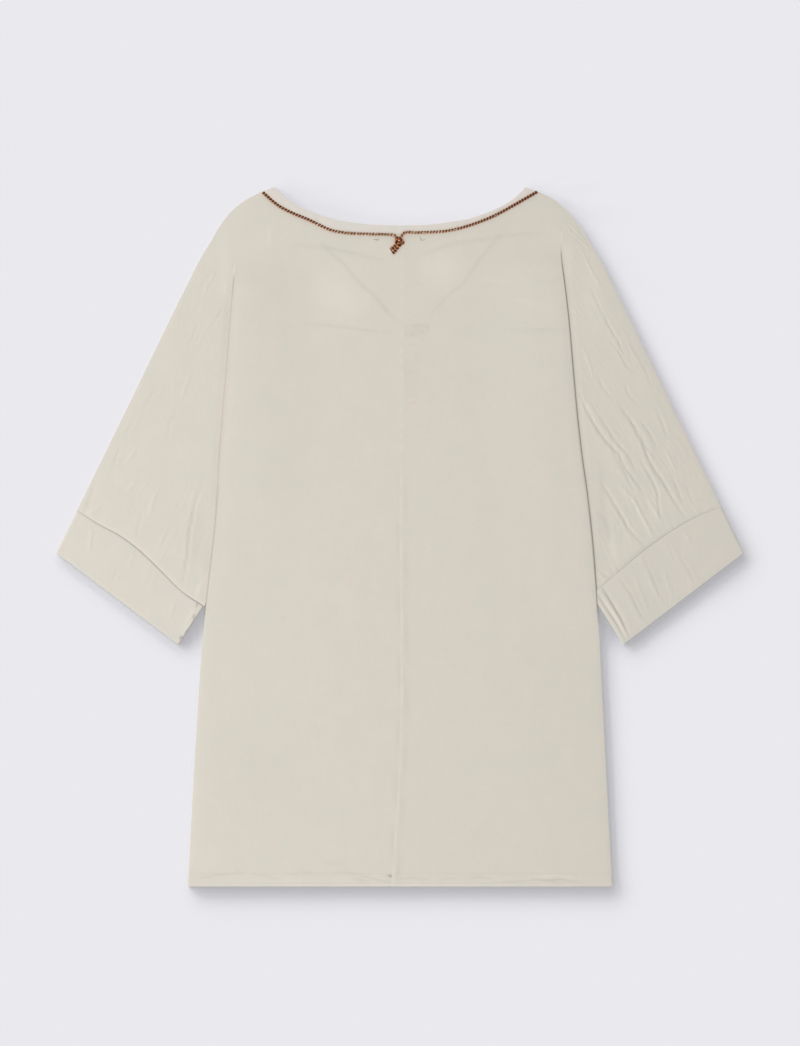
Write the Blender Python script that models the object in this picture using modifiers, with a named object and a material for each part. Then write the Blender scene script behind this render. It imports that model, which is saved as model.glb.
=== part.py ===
"""Tunic top, laid flat on its front with its back upward.

A loose top with wide short sleeves cut in one with the body, a centre back seam, deep cuffs, a
narrow neckband and a round cord sewn along the back neckline and knotted at the middle. Where
the sleeves are drawn down beside the body, the spare cloth under each arm lies in one pleat.

Metres, +Z up. +Y runs from the hem to the neck and +X is the wearer's right. The origin is on
the floor, under the middle of the garment's outline. Cutting sizes are given as a pattern maker
gives them: across, from the centre line, and up, from the hem.
"""
from collections import namedtuple
from math import cos, hypot, pi, radians, sin

import bmesh
import bpy
from mathutils import Matrix, Vector

# ---------------------------------------------------------------- driving sizes
LENGTH = 0.8192            # from the hem to the top of the neckband at the shoulder
CLOTH = 0.0010             # wall of one layer of cloth
BAND = 0.0013              # wall of the cuffs and of the back neckband, which are cut double
GAP = 0.0003               # room kept between two pieces or two layers
CORD = 0.0040              # diameter of the neck cord
LAYER = CLOTH + GAP        # from one layer to the next
LEFT, RIGHT = -1, 1        # the wearer's left lies toward -X

UNDERARM = 0.470           # height at which the side seam meets the sleeve seam
PLEAT_FOLDED = 0.690       # height up to which the pleat is folded flat
PLEAT_TOP = 0.765          # height at which it has died out into flat cloth
RISE = 0.070               # width over which the body climbs onto the folded layers
CLEAR = 0.0015             # room between the climb's end and the layers below it
SHOULDER = 0.786           # height on the overarm edge level with the pleat's top
CORNER = 0.161             # half the width of the neckline, from shoulder to shoulder
NECK_FOLD = 0.140          # where the pleat's line, run on upward, meets the neckline
CORD_SEWN_TO = 0.020       # where the cord leaves the seam, on either side of the knot

# ---------------------------------------------------------------- tables of sizes
# The side line is the body's side seam up to the underarm and the pleat's edge above it.
SideLine = namedtuple("SideLine", "up across")
SIDE = [SideLine(*row) for row in (
    (0.000, 0.2487),
    (0.160, 0.2402),
    (0.325, 0.2300),
    (0.455, 0.2175),
    (0.587, 0.2050),
    (0.688, 0.1970),
    (0.765, 0.1908),
)]
# How deep the pleat is tucked under the body.
Pleat = namedtuple("Pleat", "up tuck")
PLEAT = [Pleat(*row) for row in (
    (0.470, 0.0200),
    (0.600, 0.0130),
    (0.690, 0.0010),
    (0.820, 0.0010),
)]
# How many layers of cloth the side of the body is lifted onto, up to the underarm.
Lift = namedtuple("Lift", "up layers")
LIFT = [Lift(*row) for row in (
    (0.000, 0.0),
    (0.283, 0.0),
    (0.328, 2.6),
    (0.425, 2.6),
    (0.470, 4.0),
)]
# The overarm edge, from the corner of the cuff to the neckline.
Overarm = namedtuple("Overarm", "up across")
OVERARM = [Overarm(*row) for row in (
    (0.3904, 0.4030),
    (0.5600, 0.3201),
    (0.7100, 0.2469),
    (0.7343, 0.2346),
    (0.7578, 0.2205),
    (0.7789, 0.2076),
    (0.7930, 0.1955),
    (0.8071, 0.1760),
    (0.8145, 0.1610),
)]
# The back neckline's seam, a little lower on the left as it lies, and the band's free edge.
NeckSeam = namedtuple("NeckSeam", "across left_up right_up")
BACK_SEAM = [NeckSeam(*row) for row in (
    (0.000, 0.7652, 0.7652),
    (0.035, 0.7661, 0.7671),
    (0.059, 0.7674, 0.7696),
    (0.082, 0.7706, 0.7757),
    (0.106, 0.7802, 0.7850),
    (0.129, 0.7906, 0.7970),
    (0.145, 0.8005, 0.8055),
    (0.161, 0.8143, 0.8143),
)]
NeckEdge = namedtuple("NeckEdge", "across up")
BACK_EDGE = [NeckEdge(*row) for row in (
    (0.000, 0.7742),
    (0.035, 0.7754),
    (0.059, 0.7783),
    (0.081, 0.7822),
    (0.108, 0.7918),
    (0.124, 0.7995),
    (0.137, 0.8090),
    (0.1472, 0.8192),
)]
# The front's V neckline: its seam and the band's free edge.
FRONT_SEAM = [NeckEdge(*row) for row in (
    (0.000, 0.6560),
    (0.028, 0.6760),
    (0.062, 0.7085),
    (0.094, 0.7440),
    (0.125, 0.7780),
    (0.161, 0.8143),
)]
FRONT_EDGE = [NeckEdge(*row) for row in (
    (0.000, 0.6700),
    (0.028, 0.6895),
    (0.058, 0.7190),
    (0.086, 0.7510),
    (0.115, 0.7830),
    (0.1472, 0.8192),
)]
# The cuffs' corners, each as across and up. The right one lies a little farther up the arm.
Cuff = namedtuple("Cuff", "seam_inner seam_outer hem_inner hem_outer")
CUFFS = {
    LEFT: Cuff(Vector((0.2310, 0.3275)), Vector((0.3788, 0.4400)),
               Vector((0.2600, 0.2830)), Vector((0.4030, 0.3904))),
    RIGHT: Cuff(Vector((0.2245, 0.3416)), Vector((0.3766, 0.4445)),
                Vector((0.2620, 0.2830)), Vector((0.4030, 0.3904))),
}
# How far the cuffs' seams bow up from a straight line, along the seam from its inner end.
CuffSeam = namedtuple("CuffSeam", "along left right")
CUFF_SEAM = [CuffSeam(*row) for row in (
    (0.00, 0.0000, 0.0000),
    (0.17, -0.0015, 0.0039),
    (0.34, 0.0040, 0.0087),
    (0.50, 0.0088, 0.0110),
    (0.66, 0.0086, 0.0108),
    (0.83, 0.0030, 0.0074),
    (1.00, 0.0000, 0.0000),
)]

# Where each half of the cord leaves the seam and runs down into the knot, from the centre line.
CordEnd = namedtuple("CordEnd", "across up height")
CORD_ENDS = {
    LEFT: [CordEnd(*row) for row in (
        (0.0100, 0.7645, 0.0049),
        (0.0066, 0.7633, 0.0052),
        (0.0037, 0.7608, 0.0056),
    )],
    RIGHT: [CordEnd(*row) for row in (
        (0.0080, 0.7662, 0.0049),
        (0.0041, 0.7648, 0.0052),
        (0.0010, 0.7612, 0.0056),
    )],
}
CORD_TAILS = {
    "cord_tail_left": [CordEnd(*row) for row in (
        (-0.0073, 0.7491, 0.0051),
        (-0.0098, 0.7470, 0.0047),
        (-0.0126, 0.7451, 0.0046),
    )],
    "cord_tail_right": [CordEnd(*row) for row in (
        (-0.0036, 0.7452, 0.0051),
        (-0.0056, 0.7436, 0.0047),
        (-0.0078, 0.7420, 0.0046),
    )],
}
KNOT_AT = CordEnd(-0.0018, 0.7537, 0.0062)
KNOT_HALF = Vector((0.0052, 0.0072, 0.0036))
KNOT_LEAN = radians(-20)   # its top leans toward +X

# A layer's place in the stack on the floor and the radii of its pleat's first and second bend.
Ply = namedtuple("Ply", "level first_bend second_bend")
BACK_PLY = Ply(1, 1.5 * LAYER, 0.5 * LAYER)
FRONT_PLY = Ply(0, 0.5 * LAYER, 1.5 * LAYER)
OUTER_BEND = 1.5 * LAYER

# ---------------------------------------------------------------- numbers of sections
BODY_COLUMNS = (4, 4, 2)   # over the flat body, up the climb, over the tucked layers
HALF_BEND = 2              # in half of a bend
EDGE_STEP = 0.010          # between the sections in which the edges come out of the bends
BODY_ROW_STOPS = (0.0, 0.283, 0.328, 0.425, UNDERARM - 3 * EDGE_STEP, UNDERARM)
BODY_ROW_COUNTS = (9, 3, 3, 1, 3)
PLEAT_ROW_STOPS = (UNDERARM, PLEAT_FOLDED, PLEAT_TOP)
PLEAT_ROW_COUNTS = (7, 7)
SHOULDER_ROWS = 6
SLEEVE_ROW_COUNTS = (6, 3)
CUFF_ROWS = 4
CORD_PLACES = 12           # along the sewn length of each half of the cord
CORD_STEPS = 3             # between two places on the cord
KNOT_SEGMENTS, KNOT_RINGS = 16, 10
SEAM_STEP = 0.002          # over which a neck seam's slope is measured
FLAT_TURN = 0.001          # turn of a bend that has died out
MERGE = 0.00001            # distance within which two points are one


# ---------------------------------------------------------------- curves and spacing
def curve_through(points):
    """Return the smooth curve through (place, value) points as a function of the place."""
    places, values = zip(*points)
    last = len(places) - 1
    slopes = [(values[i + 1] - values[i]) / (places[i + 1] - places[i]) for i in range(last)]
    tangents = [slopes[0]]
    for i in range(1, last):
        before, after = places[i] - places[i - 1], places[i + 1] - places[i]
        tangents.append((slopes[i - 1] * after + slopes[i] * before) / (before + after))
    tangents.append(slopes[-1])

    def value(place):
        place = min(max(place, places[0]), places[-1])
        i = min(max(sum(place >= p for p in places) - 1, 0), last - 1)
        step = places[i + 1] - places[i]
        t = (place - places[i]) / step
        return (values[i] * (1 + 2 * t) * (1 - t) ** 2 + values[i + 1] * t * t * (3 - 2 * t)
                + step * t * (1 - t) * (tangents[i] * (1 - t) - tangents[i + 1] * t))

    return value


def line_through(points):
    """Return the straight-sided line through (place, value) points as a function of the place."""
    def value(place):
        for (x0, y0), (x1, y1) in zip(points, points[1:]):
            if place <= x1:
                break
        return y0 + (y1 - y0) * (place - x0) / (x1 - x0)

    return value


def spread(stops, counts):
    """Return places from the first stop to the last, evenly spaced between each two stops."""
    places = [stops[0]]
    for low, high, count in zip(stops, stops[1:], counts):
        places += [low + (high - low) * (i + 1) / count for i in range(count)]
    return places


def ease_in_out(t):
    t = min(max(t, 0.0), 1.0)
    return t * t * (3 - 2 * t)


def seam_offset(curve, across):
    """Return how far up or down a neck seam's edge moves, so that half the gap is left."""
    rise = curve(across + SEAM_STEP / 2) - curve(across - SEAM_STEP / 2)
    return GAP / 2 * hypot(1.0, rise / SEAM_STEP)


def on_floor(side, across, up, height):
    """Turn a place on the pattern into a point of the model."""
    return Vector((side * across, up - LENGTH / 2, height))


def ply_height(ply):
    """Height of the middle of a ply's wall where it lies on the floor."""
    return ply.level * LAYER + CLOTH / 2


side_at = curve_through(SIDE)
tuck_at = line_through(PLEAT)
lift_at = line_through(LIFT)
overarm_at = curve_through(OVERARM)
back_seams = {
    LEFT: curve_through([(row.across, row.left_up) for row in BACK_SEAM]),
    RIGHT: curve_through([(row.across, row.right_up) for row in BACK_SEAM]),
}
back_edge = curve_through(BACK_EDGE)
front_seam = curve_through(FRONT_SEAM)
front_edge = curve_through(FRONT_EDGE)
cuff_bows = {
    LEFT: line_through([(row.along, row.left) for row in CUFF_SEAM]),
    RIGHT: line_through([(row.along, row.right) for row in CUFF_SEAM]),
}


# ---------------------------------------------------------------- sections of half a panel
def pleat_path(ply, tuck, turn):
    """Return the pleat's section as steps outward and downward from the start of its first bend.

    The cloth bends under by the turn, runs straight for the tuck and bends back by the same
    turn. Each bend keeps its length of cloth, so a smaller turn has a larger radius.
    """
    first, second = ply.first_bend * pi / turn, ply.second_bend * pi / turn
    parts = [i / (2 * HALF_BEND) for i in range(2 * HALF_BEND + 1)]
    path = [(first * sin(turn * part), first * (1 - cos(turn * part))) for part in parts]
    run_out = path[-1][0] + tuck * cos(turn)
    run_down = path[-1][1] + tuck * sin(turn)
    for part in parts:
        left = turn * (1 - part)
        path.append((run_out + second * (sin(turn) - sin(left)),
                     run_down + second * (cos(left) - cos(turn))))
    return path


def turn_at(up):
    """How far the pleat's bends turn: half a circle where it is folded, next to nothing above."""
    died_out = ease_in_out((up - PLEAT_FOLDED) / (PLEAT_TOP - PLEAT_FOLDED))
    return max(pi * (1 - died_out), FLAT_TURN)


def body_columns(inner, under, start):
    """Return the places across the body: flat, up the climb and over the layers below it."""
    climb_end = min(under, start) - CLEAR
    stops = (inner, climb_end - RISE, climb_end, start)
    return spread(stops, BODY_COLUMNS), climb_end


def body_height(ply, across, climb_end, lift):
    return ply_height(ply) + lift * ease_in_out((across - climb_end) / RISE + 1)


def below_underarm(side, up):
    """How far down the sleeve this height is: 0 at the underarm, 1 at the cuff's inner end."""
    return (UNDERARM - up) / (UNDERARM - CUFFS[side].seam_inner.y)


def sleeve_inner(side, up):
    """Where the sleeve's inner edge lies under the body, below the underarm."""
    at_underarm = side_at(UNDERARM) - CLOTH - 2 * OUTER_BEND - tuck_at(UNDERARM)
    return at_underarm + (CUFFS[side].seam_inner.x - at_underarm) * below_underarm(side, up)


def curl_at(up):
    """How much of a bend is left in the edges below the underarm: 1 there, 0 two steps down."""
    return min(max((up - UNDERARM) / (2 * EDGE_STEP) + 1, 0.0), 1.0)


def set_back(bend, up):
    """How far an edge stays in just below the underarm, where the outer layer comes out flat."""
    return (OUTER_BEND + CLOTH / 2 - bend) * min(max((up - UNDERARM) / EDGE_STEP + 3, 0.0), 1.0)


def half_bend(radius):
    """Return half a bend from its start to its crown, as steps outward and downward."""
    angles = [pi / 2 * (i + 1) / HALF_BEND for i in range(HALF_BEND)]
    return [(radius * sin(angle), radius * (1 - cos(angle))) for angle in angles]


def body_section(side, ply, up, inner):
    """One section of the body below the underarm, as (across, up, height)."""
    side_edge = side_at(up)
    start = side_edge - CLOTH / 2 - OUTER_BEND
    under = sleeve_inner(side, up) if up > CUFFS[side].seam_inner.y else start
    places, climb_end = body_columns(inner, under, start)
    lift = lift_at(up) * LAYER
    section = [(across, up, body_height(ply, across, climb_end, lift)) for across in places]
    curl, edge = curl_at(up), side_edge - set_back(ply.first_bend, up)
    for i, (out, down) in enumerate(half_bend(ply.first_bend)):
        flat = (edge - start) * (i + 1) / HALF_BEND
        section.append((start + flat + (out - flat) * curl, up, ply_height(ply) + lift - down * curl))
    return section


def sleeve_section(side, ply, up):
    """One section of the sleeve whose inner edge lies under the body at this height."""
    cuff, bow = CUFFS[side], cuff_bows[side]
    outer_up = overarm_height(side, up)
    inner = Vector((sleeve_inner(side, up) + set_back(ply.second_bend, up), up))
    outer = Vector((overarm_at(outer_up), outer_up))
    if up == cuff.seam_inner.y:
        away = (cuff.seam_inner - cuff.hem_inner).normalized()
        inner, outer = inner + away * GAP / 2, outer + away * GAP / 2
    width, rise = outer - inner
    curl = curl_at(up)
    end = sleeve_inner(side, up) + CLOTH / 2 + OUTER_BEND
    section = []
    for i, (out, height) in enumerate(reversed([(0.0, 0.0)] + half_bend(ply.second_bend))):
        flat = inner.x + OUTER_BEND * i / HALF_BEND
        section.append((flat + (end - out - flat) * curl, height * curl))
    section += [(inner.x + width * row.along, 0.0) for row in CUFF_SEAM[1:]]
    bowed = []
    for across, height in section:
        along = (across - inner.x) / width
        level = inner.y + rise * along + bow(along) * below_underarm(side, up)
        bowed.append((across, level, ply_height(ply) + height))
    return bowed


def overarm_height(side, up):
    """Height on the overarm edge of the section that crosses the side line at this height."""
    low, outer_low = CUFFS[side].seam_inner.y, CUFFS[side].seam_outer.y
    return outer_low + (SHOULDER - outer_low) * (up - low) / (PLEAT_TOP - low)


def upper_section(side, ply, up, inner, seam):
    """One section above the underarm: body, pleat and sleeve, as (across, up, height).

    A section runs level over the pleat and fans out over the sleeve. Toward the neck it bends
    until the last one follows the neckline's seam.
    """
    top = seam(NECK_FOLD)
    bent = (up - UNDERARM) / (top - UNDERARM)
    shoulder = max(up - PLEAT_TOP, 0.0) / (top - PLEAT_TOP)
    fold = side_at(min(up, PLEAT_TOP))
    fold += (NECK_FOLD - fold) * shoulder
    inner_up = UNDERARM + (seam(0.0) - UNDERARM) * bent
    outer_up = overarm_height(side, min(up, PLEAT_TOP))
    outer_up += (OVERARM[-1].up - outer_up) * shoulder
    outer = overarm_at(outer_up)

    tuck = tuck_at(up)
    start = fold - CLOTH / 2 - OUTER_BEND
    path = pleat_path(ply, tuck, turn_at(up))
    lift = path[-1][1]
    places, climb_end = body_columns(inner, start - tuck - OUTER_BEND - CLOTH / 2, start)
    heights = [body_height(ply, across, climb_end, lift) for across in places]
    for out, down in path[1:]:
        places.append(start + out)
        heights.append(ply_height(ply) + lift - down)
    sleeve_start = places[-1]
    for row in CUFF_SEAM[1:]:
        places.append(sleeve_start + (outer - sleeve_start) * row.along)
        heights.append(ply_height(ply))

    hinge = climb_end - RISE
    hinge += (fold - hinge) * shoulder
    chord = line_through(((0.0, seam(0.0)), (NECK_FOLD, top), (CORNER, seam(CORNER))))

    def up_at(across):
        if across <= hinge:
            station = NECK_FOLD * across / hinge
            level = inner_up + (up - inner_up) * across / hinge + bent * (seam(station) - chord(station))
        elif across <= fold:
            station = NECK_FOLD
            level = up
        else:
            reach = (across - fold) / (outer - fold)
            station = NECK_FOLD + (CORNER - NECK_FOLD) * reach
            level = up + (outer_up - up) * reach + shoulder * (seam(station) - chord(station))
        return level - (seam_offset(seam, station) if up == top else 0.0)

    return [(across, up_at(across), height) for across, height in zip(places, heights)]


def half_panel_sections(side, ply, inner, seam):
    """Return the sections of the body below the underarm, of the sleeve there, and of all above."""
    body_ups = spread(BODY_ROW_STOPS, BODY_ROW_COUNTS)[:-1]
    sleeve_stops = (CUFFS[side].seam_inner.y, UNDERARM - 3 * EDGE_STEP, UNDERARM)
    sleeve_ups = spread(sleeve_stops, SLEEVE_ROW_COUNTS)[:-1]
    top = seam(NECK_FOLD)
    upper_ups = spread((*PLEAT_ROW_STOPS, top), (*PLEAT_ROW_COUNTS, SHOULDER_ROWS))[:-1] + [top]
    return (
        [body_section(side, ply, up, inner) for up in body_ups],
        [sleeve_section(side, ply, up) for up in sleeve_ups],
        [upper_section(side, ply, up, inner, seam) for up in upper_ups],
    )


# ---------------------------------------------------------------- meshes
def lay_grid(bm, sections, side):
    """Add a grid of quads through sections of (across, up, height) with equal numbers of points."""
    rows, columns = len(sections) - 1, len(sections[0]) - 1
    grid = bmesh.ops.create_grid(bm, x_segments=columns, y_segments=rows, size=1.0)
    for vert in grid["verts"]:
        column = round((vert.co.x + 1) / 2 * columns)
        row = round((vert.co.y + 1) / 2 * rows)
        vert.co = on_floor(side, *sections[row][column])


def lay_half_panel(bm, side, ply, inner, seam):
    """Add half a panel: the body with half a bend, the tucked cloth, and the sleeve."""
    body, sleeve, upper = half_panel_sections(side, ply, inner, seam)
    crown = sum(BODY_COLUMNS) + HALF_BEND
    second_crown = crown + 2 * HALF_BEND + 1
    lay_grid(bm, body + [section[:crown + 1] for section in upper], side)
    lay_grid(bm, [section[crown:second_crown + 1] for section in upper], side)
    lay_grid(bm, sleeve + [section[second_crown:] for section in upper], side)


def new_material(name, colour, roughness):
    material = bpy.data.materials.new(name)
    material.use_nodes = True
    shader = material.node_tree.nodes["Principled BSDF"]
    shader.inputs["Base Color"].default_value = (*colour, 1.0)
    shader.inputs["Roughness"].default_value = roughness
    shader.inputs["Metallic"].default_value = 0.0
    return material


def new_object(name, data, collection, material):
    thing = bpy.data.objects.new(name, data)
    thing.data.materials.append(material)
    collection.objects.link(thing)
    return thing


def wall_object(name, bm, wall, collection, colour=(0.68, 0.61, 0.52)):
    """Turn an open surface into a piece of cloth with a wall, half on each side of it."""
    bmesh.ops.remove_doubles(bm, verts=bm.verts, dist=MERGE)
    bmesh.ops.recalc_face_normals(bm, faces=bm.faces)
    mesh = bpy.data.meshes.new(name)
    bm.to_mesh(mesh)
    bm.free()
    piece = new_object(name, mesh, collection, new_material(name, colour, 0.85))
    solidify = piece.modifiers.new("wall", "SOLIDIFY")
    solidify.thickness = wall
    solidify.offset = 0.0
    solidify.use_even_offset = True
    mesh.shade_smooth()
    mesh.set_sharp_from_angle(angle=radians(50))
    return piece


def make_backs(collection):
    """The two back halves, joined by the centre back seam."""
    for name, side in (("back_left", LEFT), ("back_right", RIGHT)):
        bm = bmesh.new()
        lay_half_panel(bm, side, BACK_PLY, GAP / 2, back_seams[side])
        wall_object(name, bm, CLOTH, collection)


def make_front(collection):
    """The front, in one piece with its half of each sleeve, open in a V at the neck."""
    bm = bmesh.new()
    for side in (LEFT, RIGHT):
        lay_half_panel(bm, side, FRONT_PLY, 0.0, front_seam)
    wall_object("front", bm, CLOTH, collection)


def neck_stations(side, seam):
    """Places across at which the panel's neckline has its points."""
    return [across for across, _, _ in upper_section(side, BACK_PLY, seam(NECK_FOLD), 0.0, seam)]


def band_sections(side, seam, edge, height):
    """Sections of half a neckband, each from the seam to the free edge."""
    sections = []
    for across in neck_stations(side, seam):
        low = Vector((across, seam(across) + seam_offset(seam, across)))
        edge_across = across * BACK_EDGE[-1].across / CORNER
        high = Vector((edge_across, edge(edge_across)))
        sections.append([(side * p.x, p.y, height) for p in (low, low.lerp(high, 0.5), high)])
    return sections


def make_neckbands(collection):
    """The neckband, cut as one strip for the back and one for the front."""
    front_seams = {LEFT: front_seam, RIGHT: front_seam}
    for name, seams, edge, wall, floor in (
        ("neckband_back", back_seams, back_edge, BAND, LAYER),
        ("neckband_front", front_seams, front_edge, CLOTH, 0.0),
    ):
        left, right = (band_sections(side, seams[side], edge, floor + wall / 2) for side in (LEFT, RIGHT))
        bm = bmesh.new()
        lay_grid(bm, left[:0:-1] + right, 1)
        wall_object(name, bm, wall, collection, colour=(0.72, 0.66, 0.56))


def cuff_ring(inner, outer, bow, share):
    """One ring of a cuff, pressed flat: along the lower layer, round the edge and back above.

    The share is how much of the seam's bow the ring has.
    """
    bend = (BAND + GAP) / 2
    along = (outer - inner).normalized()
    reach = (bend + BAND / 2) / (outer - inner).length
    low, high = BAND / 2, BAND / 2 + 2 * bend
    middle = (low + high) / 2
    parts = [reach] + [row.along for row in CUFF_SEAM[1:-1]] + [1 - reach]
    line = [inner.lerp(outer, part) + Vector((0.0, bow(part) * share)) for part in parts]
    ring = [(*point, low) for point in line]
    ring.append((*(line[-1] + along * bend), middle))
    ring += [(*point, high) for point in reversed(line)]
    ring.append((*(line[0] - along * bend), middle))
    ring.append(ring[0])
    return ring


def make_cuffs(collection):
    """A deep band round the end of each sleeve."""
    for name, side in (("cuff_left", LEFT), ("cuff_right", RIGHT)):
        cuff = CUFFS[side]
        away = (cuff.hem_inner - cuff.seam_inner).normalized() * GAP / 2
        rings = []
        for part in spread((0.0, 1.0), (CUFF_ROWS,)):
            inner = (cuff.seam_inner + away).lerp(cuff.hem_inner, part)
            outer = (cuff.seam_outer + away).lerp(cuff.hem_outer, part)
            rings.append(cuff_ring(inner, outer, cuff_bows[side], 1 - part))
        bm = bmesh.new()
        lay_grid(bm, rings, side)
        wall_object(name, bm, BAND, collection, colour=(0.69, 0.62, 0.53))


def cord_object(name, points, collection):
    """A length of cord through points of the model, with flat ends."""
    curve = bpy.data.curves.new(name, "CURVE")
    curve.dimensions = "3D"
    curve.bevel_depth = CORD / 2
    curve.bevel_resolution = 2
    curve.resolution_u = 1
    curve.render_resolution_u = 0
    curve.use_fill_caps = True
    spline = curve.splines.new("POLY")
    spline.points.add(len(points) - 1)
    for point, place in zip(spline.points, points):
        point.co = (*place, 1.0)
    new_object(name, curve, collection, new_material(name, (0.20, 0.08, 0.035), 0.6))


def smooth_route(points, between):
    """Return points along the smooth curve through the given ones, so many to each stretch."""
    axes = [curve_through([(i, point[axis]) for i, point in enumerate(points)]) for axis in range(3)]
    count = (len(points) - 1) * between
    return [tuple(axis(i / between) for axis in axes) for i in range(count + 1)]


def make_cord(collection):
    """The two halves of the neck cord, the knot that joins them and its two tails."""
    lying = LAYER + BAND + GAP + CORD / 2
    for name, side in (("neck_cord_left", LEFT), ("neck_cord_right", RIGHT)):
        seam = back_seams[side]
        places = spread((CORNER, CORD_SEWN_TO), (CORD_PLACES,))
        route = [(across, seam(across), lying) for across in places] + CORD_ENDS[side]
        cord_object(name, [on_floor(side, *point) for point in smooth_route(route, CORD_STEPS)], collection)
    for name, route in CORD_TAILS.items():
        cord_object(name, [on_floor(RIGHT, *point) for point in smooth_route(route, CORD_STEPS)], collection)
    bm = bmesh.new()
    bmesh.ops.create_uvsphere(bm, u_segments=KNOT_SEGMENTS, v_segments=KNOT_RINGS, radius=1.0)
    bmesh.ops.scale(bm, vec=KNOT_HALF, verts=bm.verts)
    bmesh.ops.rotate(bm, cent=(0, 0, 0), matrix=Matrix.Rotation(KNOT_LEAN, 3, "Z"), verts=bm.verts)
    bmesh.ops.translate(bm, vec=on_floor(RIGHT, *KNOT_AT), verts=bm.verts)
    mesh = bpy.data.meshes.new("neck_knot")
    bm.to_mesh(mesh)
    bm.free()
    mesh.shade_smooth()
    new_object("neck_knot", mesh, collection, new_material("neck_knot", (0.18, 0.07, 0.03), 0.6))


def main():
    for thing in list(bpy.data.objects):
        bpy.data.objects.remove(thing, do_unlink=True)
    collection = bpy.data.collections.new("tunic_top")
    bpy.context.scene.collection.children.link(collection)
    make_front(collection)
    make_backs(collection)
    make_neckbands(collection)
    make_cuffs(collection)
    make_cord(collection)


main()
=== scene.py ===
# %% [markdown]
# # A loose tunic top, laid flat with its back upward
#
# The tunic is sewn from a light plain-woven cotton: a front, two backs joined down the middle,
# sleeves cut in one with them, deep cuffs, and a narrow neckband with a twisted cord sewn along
# its seam. Its solid model is already fixed. This lesson dresses that model: every cloth solid
# gets a thin, softly creased sheet in its place, and the smooth cord gets real twisted strands.

# %% Load the fixed model
from collections import namedtuple
from math import cos, hypot, pi, radians, sin

import bmesh
import bpy
import numpy as np
from mathutils import Matrix, Vector


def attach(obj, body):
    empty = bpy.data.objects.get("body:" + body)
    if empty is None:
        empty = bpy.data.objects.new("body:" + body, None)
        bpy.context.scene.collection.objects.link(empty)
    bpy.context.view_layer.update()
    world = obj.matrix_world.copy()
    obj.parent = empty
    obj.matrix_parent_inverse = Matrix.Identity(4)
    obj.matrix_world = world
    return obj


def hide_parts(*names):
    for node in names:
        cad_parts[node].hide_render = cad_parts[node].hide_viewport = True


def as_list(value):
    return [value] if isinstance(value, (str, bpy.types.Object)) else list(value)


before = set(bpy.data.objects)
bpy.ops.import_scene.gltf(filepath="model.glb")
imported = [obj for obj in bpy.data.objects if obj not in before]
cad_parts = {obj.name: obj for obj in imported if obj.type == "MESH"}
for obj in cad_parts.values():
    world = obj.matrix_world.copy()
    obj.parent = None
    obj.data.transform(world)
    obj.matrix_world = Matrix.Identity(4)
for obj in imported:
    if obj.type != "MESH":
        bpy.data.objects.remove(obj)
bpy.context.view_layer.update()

MM = 0.001
print("the model has", len(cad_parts), "solids")

# %% [markdown]
# ## Camera and floor
#
# The garment lies on a pale surface and is seen from straight above. A long lens far away keeps
# the view free of perspective, so nothing leans outward at the edges of the picture. The floor is
# one large plain grid; it isn't part of the garment.

# %% Camera
scene = bpy.context.scene
CAMERA_HEIGHT = 3.4084
PICTURE_MIDDLE = 0.0158    # how far the picture's middle lies above the garment's


def link_new(name, data):
    """Add an object with this data to the scene."""
    thing = bpy.data.objects.new(name, data)
    scene.collection.objects.link(thing)
    return thing


lens = bpy.data.cameras.new("camera above")
lens.lens = 100.0
lens.sensor_fit = "VERTICAL"
lens.sensor_height = 36.0
camera = link_new("camera above", lens)
camera.location = (0.0, PICTURE_MIDDLE, CAMERA_HEIGHT)
scene.camera = camera
print("camera", CAMERA_HEIGHT, "m above the floor")

# %% Floor
FLOOR_REACH = 4.0
FLOOR_GAP = 0.05 * MM      # keeps the floor clear of the cloth that lies on it


def add_piece(name, bm, material=None):
    """Turn a finished bmesh into an object with smooth faces and a finish."""
    mesh = bpy.data.meshes.new(name)
    bm.to_mesh(mesh)
    bm.free()
    mesh.shade_smooth()
    if material:
        mesh.materials.append(material)
    print(name, "has", len(mesh.polygons), "faces")
    return link_new(name, mesh)


bm = bmesh.new()
bmesh.ops.create_grid(bm, x_segments=2, y_segments=2, size=FLOOR_REACH)
bmesh.ops.translate(bm, vec=(0.0, 0.0, -FLOOR_GAP), verts=bm.verts)
floor = add_piece("floor", bm)

# %% [markdown]
# ## Light
#
# A thin garment on a floor throws almost no shadow in soft light, but here a soft shadow falls
# away to the lower right of every edge. A bank of very low lamps makes it: each one lights the
# floor alone, from a slightly different side, and the garment stands in its way. The cloth itself
# is lit by the air of the studio, by soft light from above, and by one large lamp on the left, which
# shows the creases. Light linking says what a lamp lights, and what can stand in its way.

# %% The studio's air, and who is lit
AIR = 0.446                # light from the studio's air
LOW_LIGHT = 0.484          # light on the floor from the low lamps
OPEN_LIGHT = 0.07          # light on the floor that nothing shades
OVERHEAD = 0.125           # soft light from above on the cloth
scene.view_settings.view_transform = "Standard"
world = bpy.data.worlds.new("studio air")
world.use_nodes = True
world.node_tree.nodes["Background"].inputs["Color"].default_value = (1.0, 1.0, 1.0, 1.0)
world.node_tree.nodes["Background"].inputs["Strength"].default_value = AIR
scene.world = world

floor_only = bpy.data.collections.new("lit by the low lamps")
floor_only.objects.link(floor)
all_but_floor = bpy.data.collections.new("lit by the big lamp")
all_but_floor.objects.link(floor)
all_but_floor.collection_objects[0].light_linking.link_state = "EXCLUDE"


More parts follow.
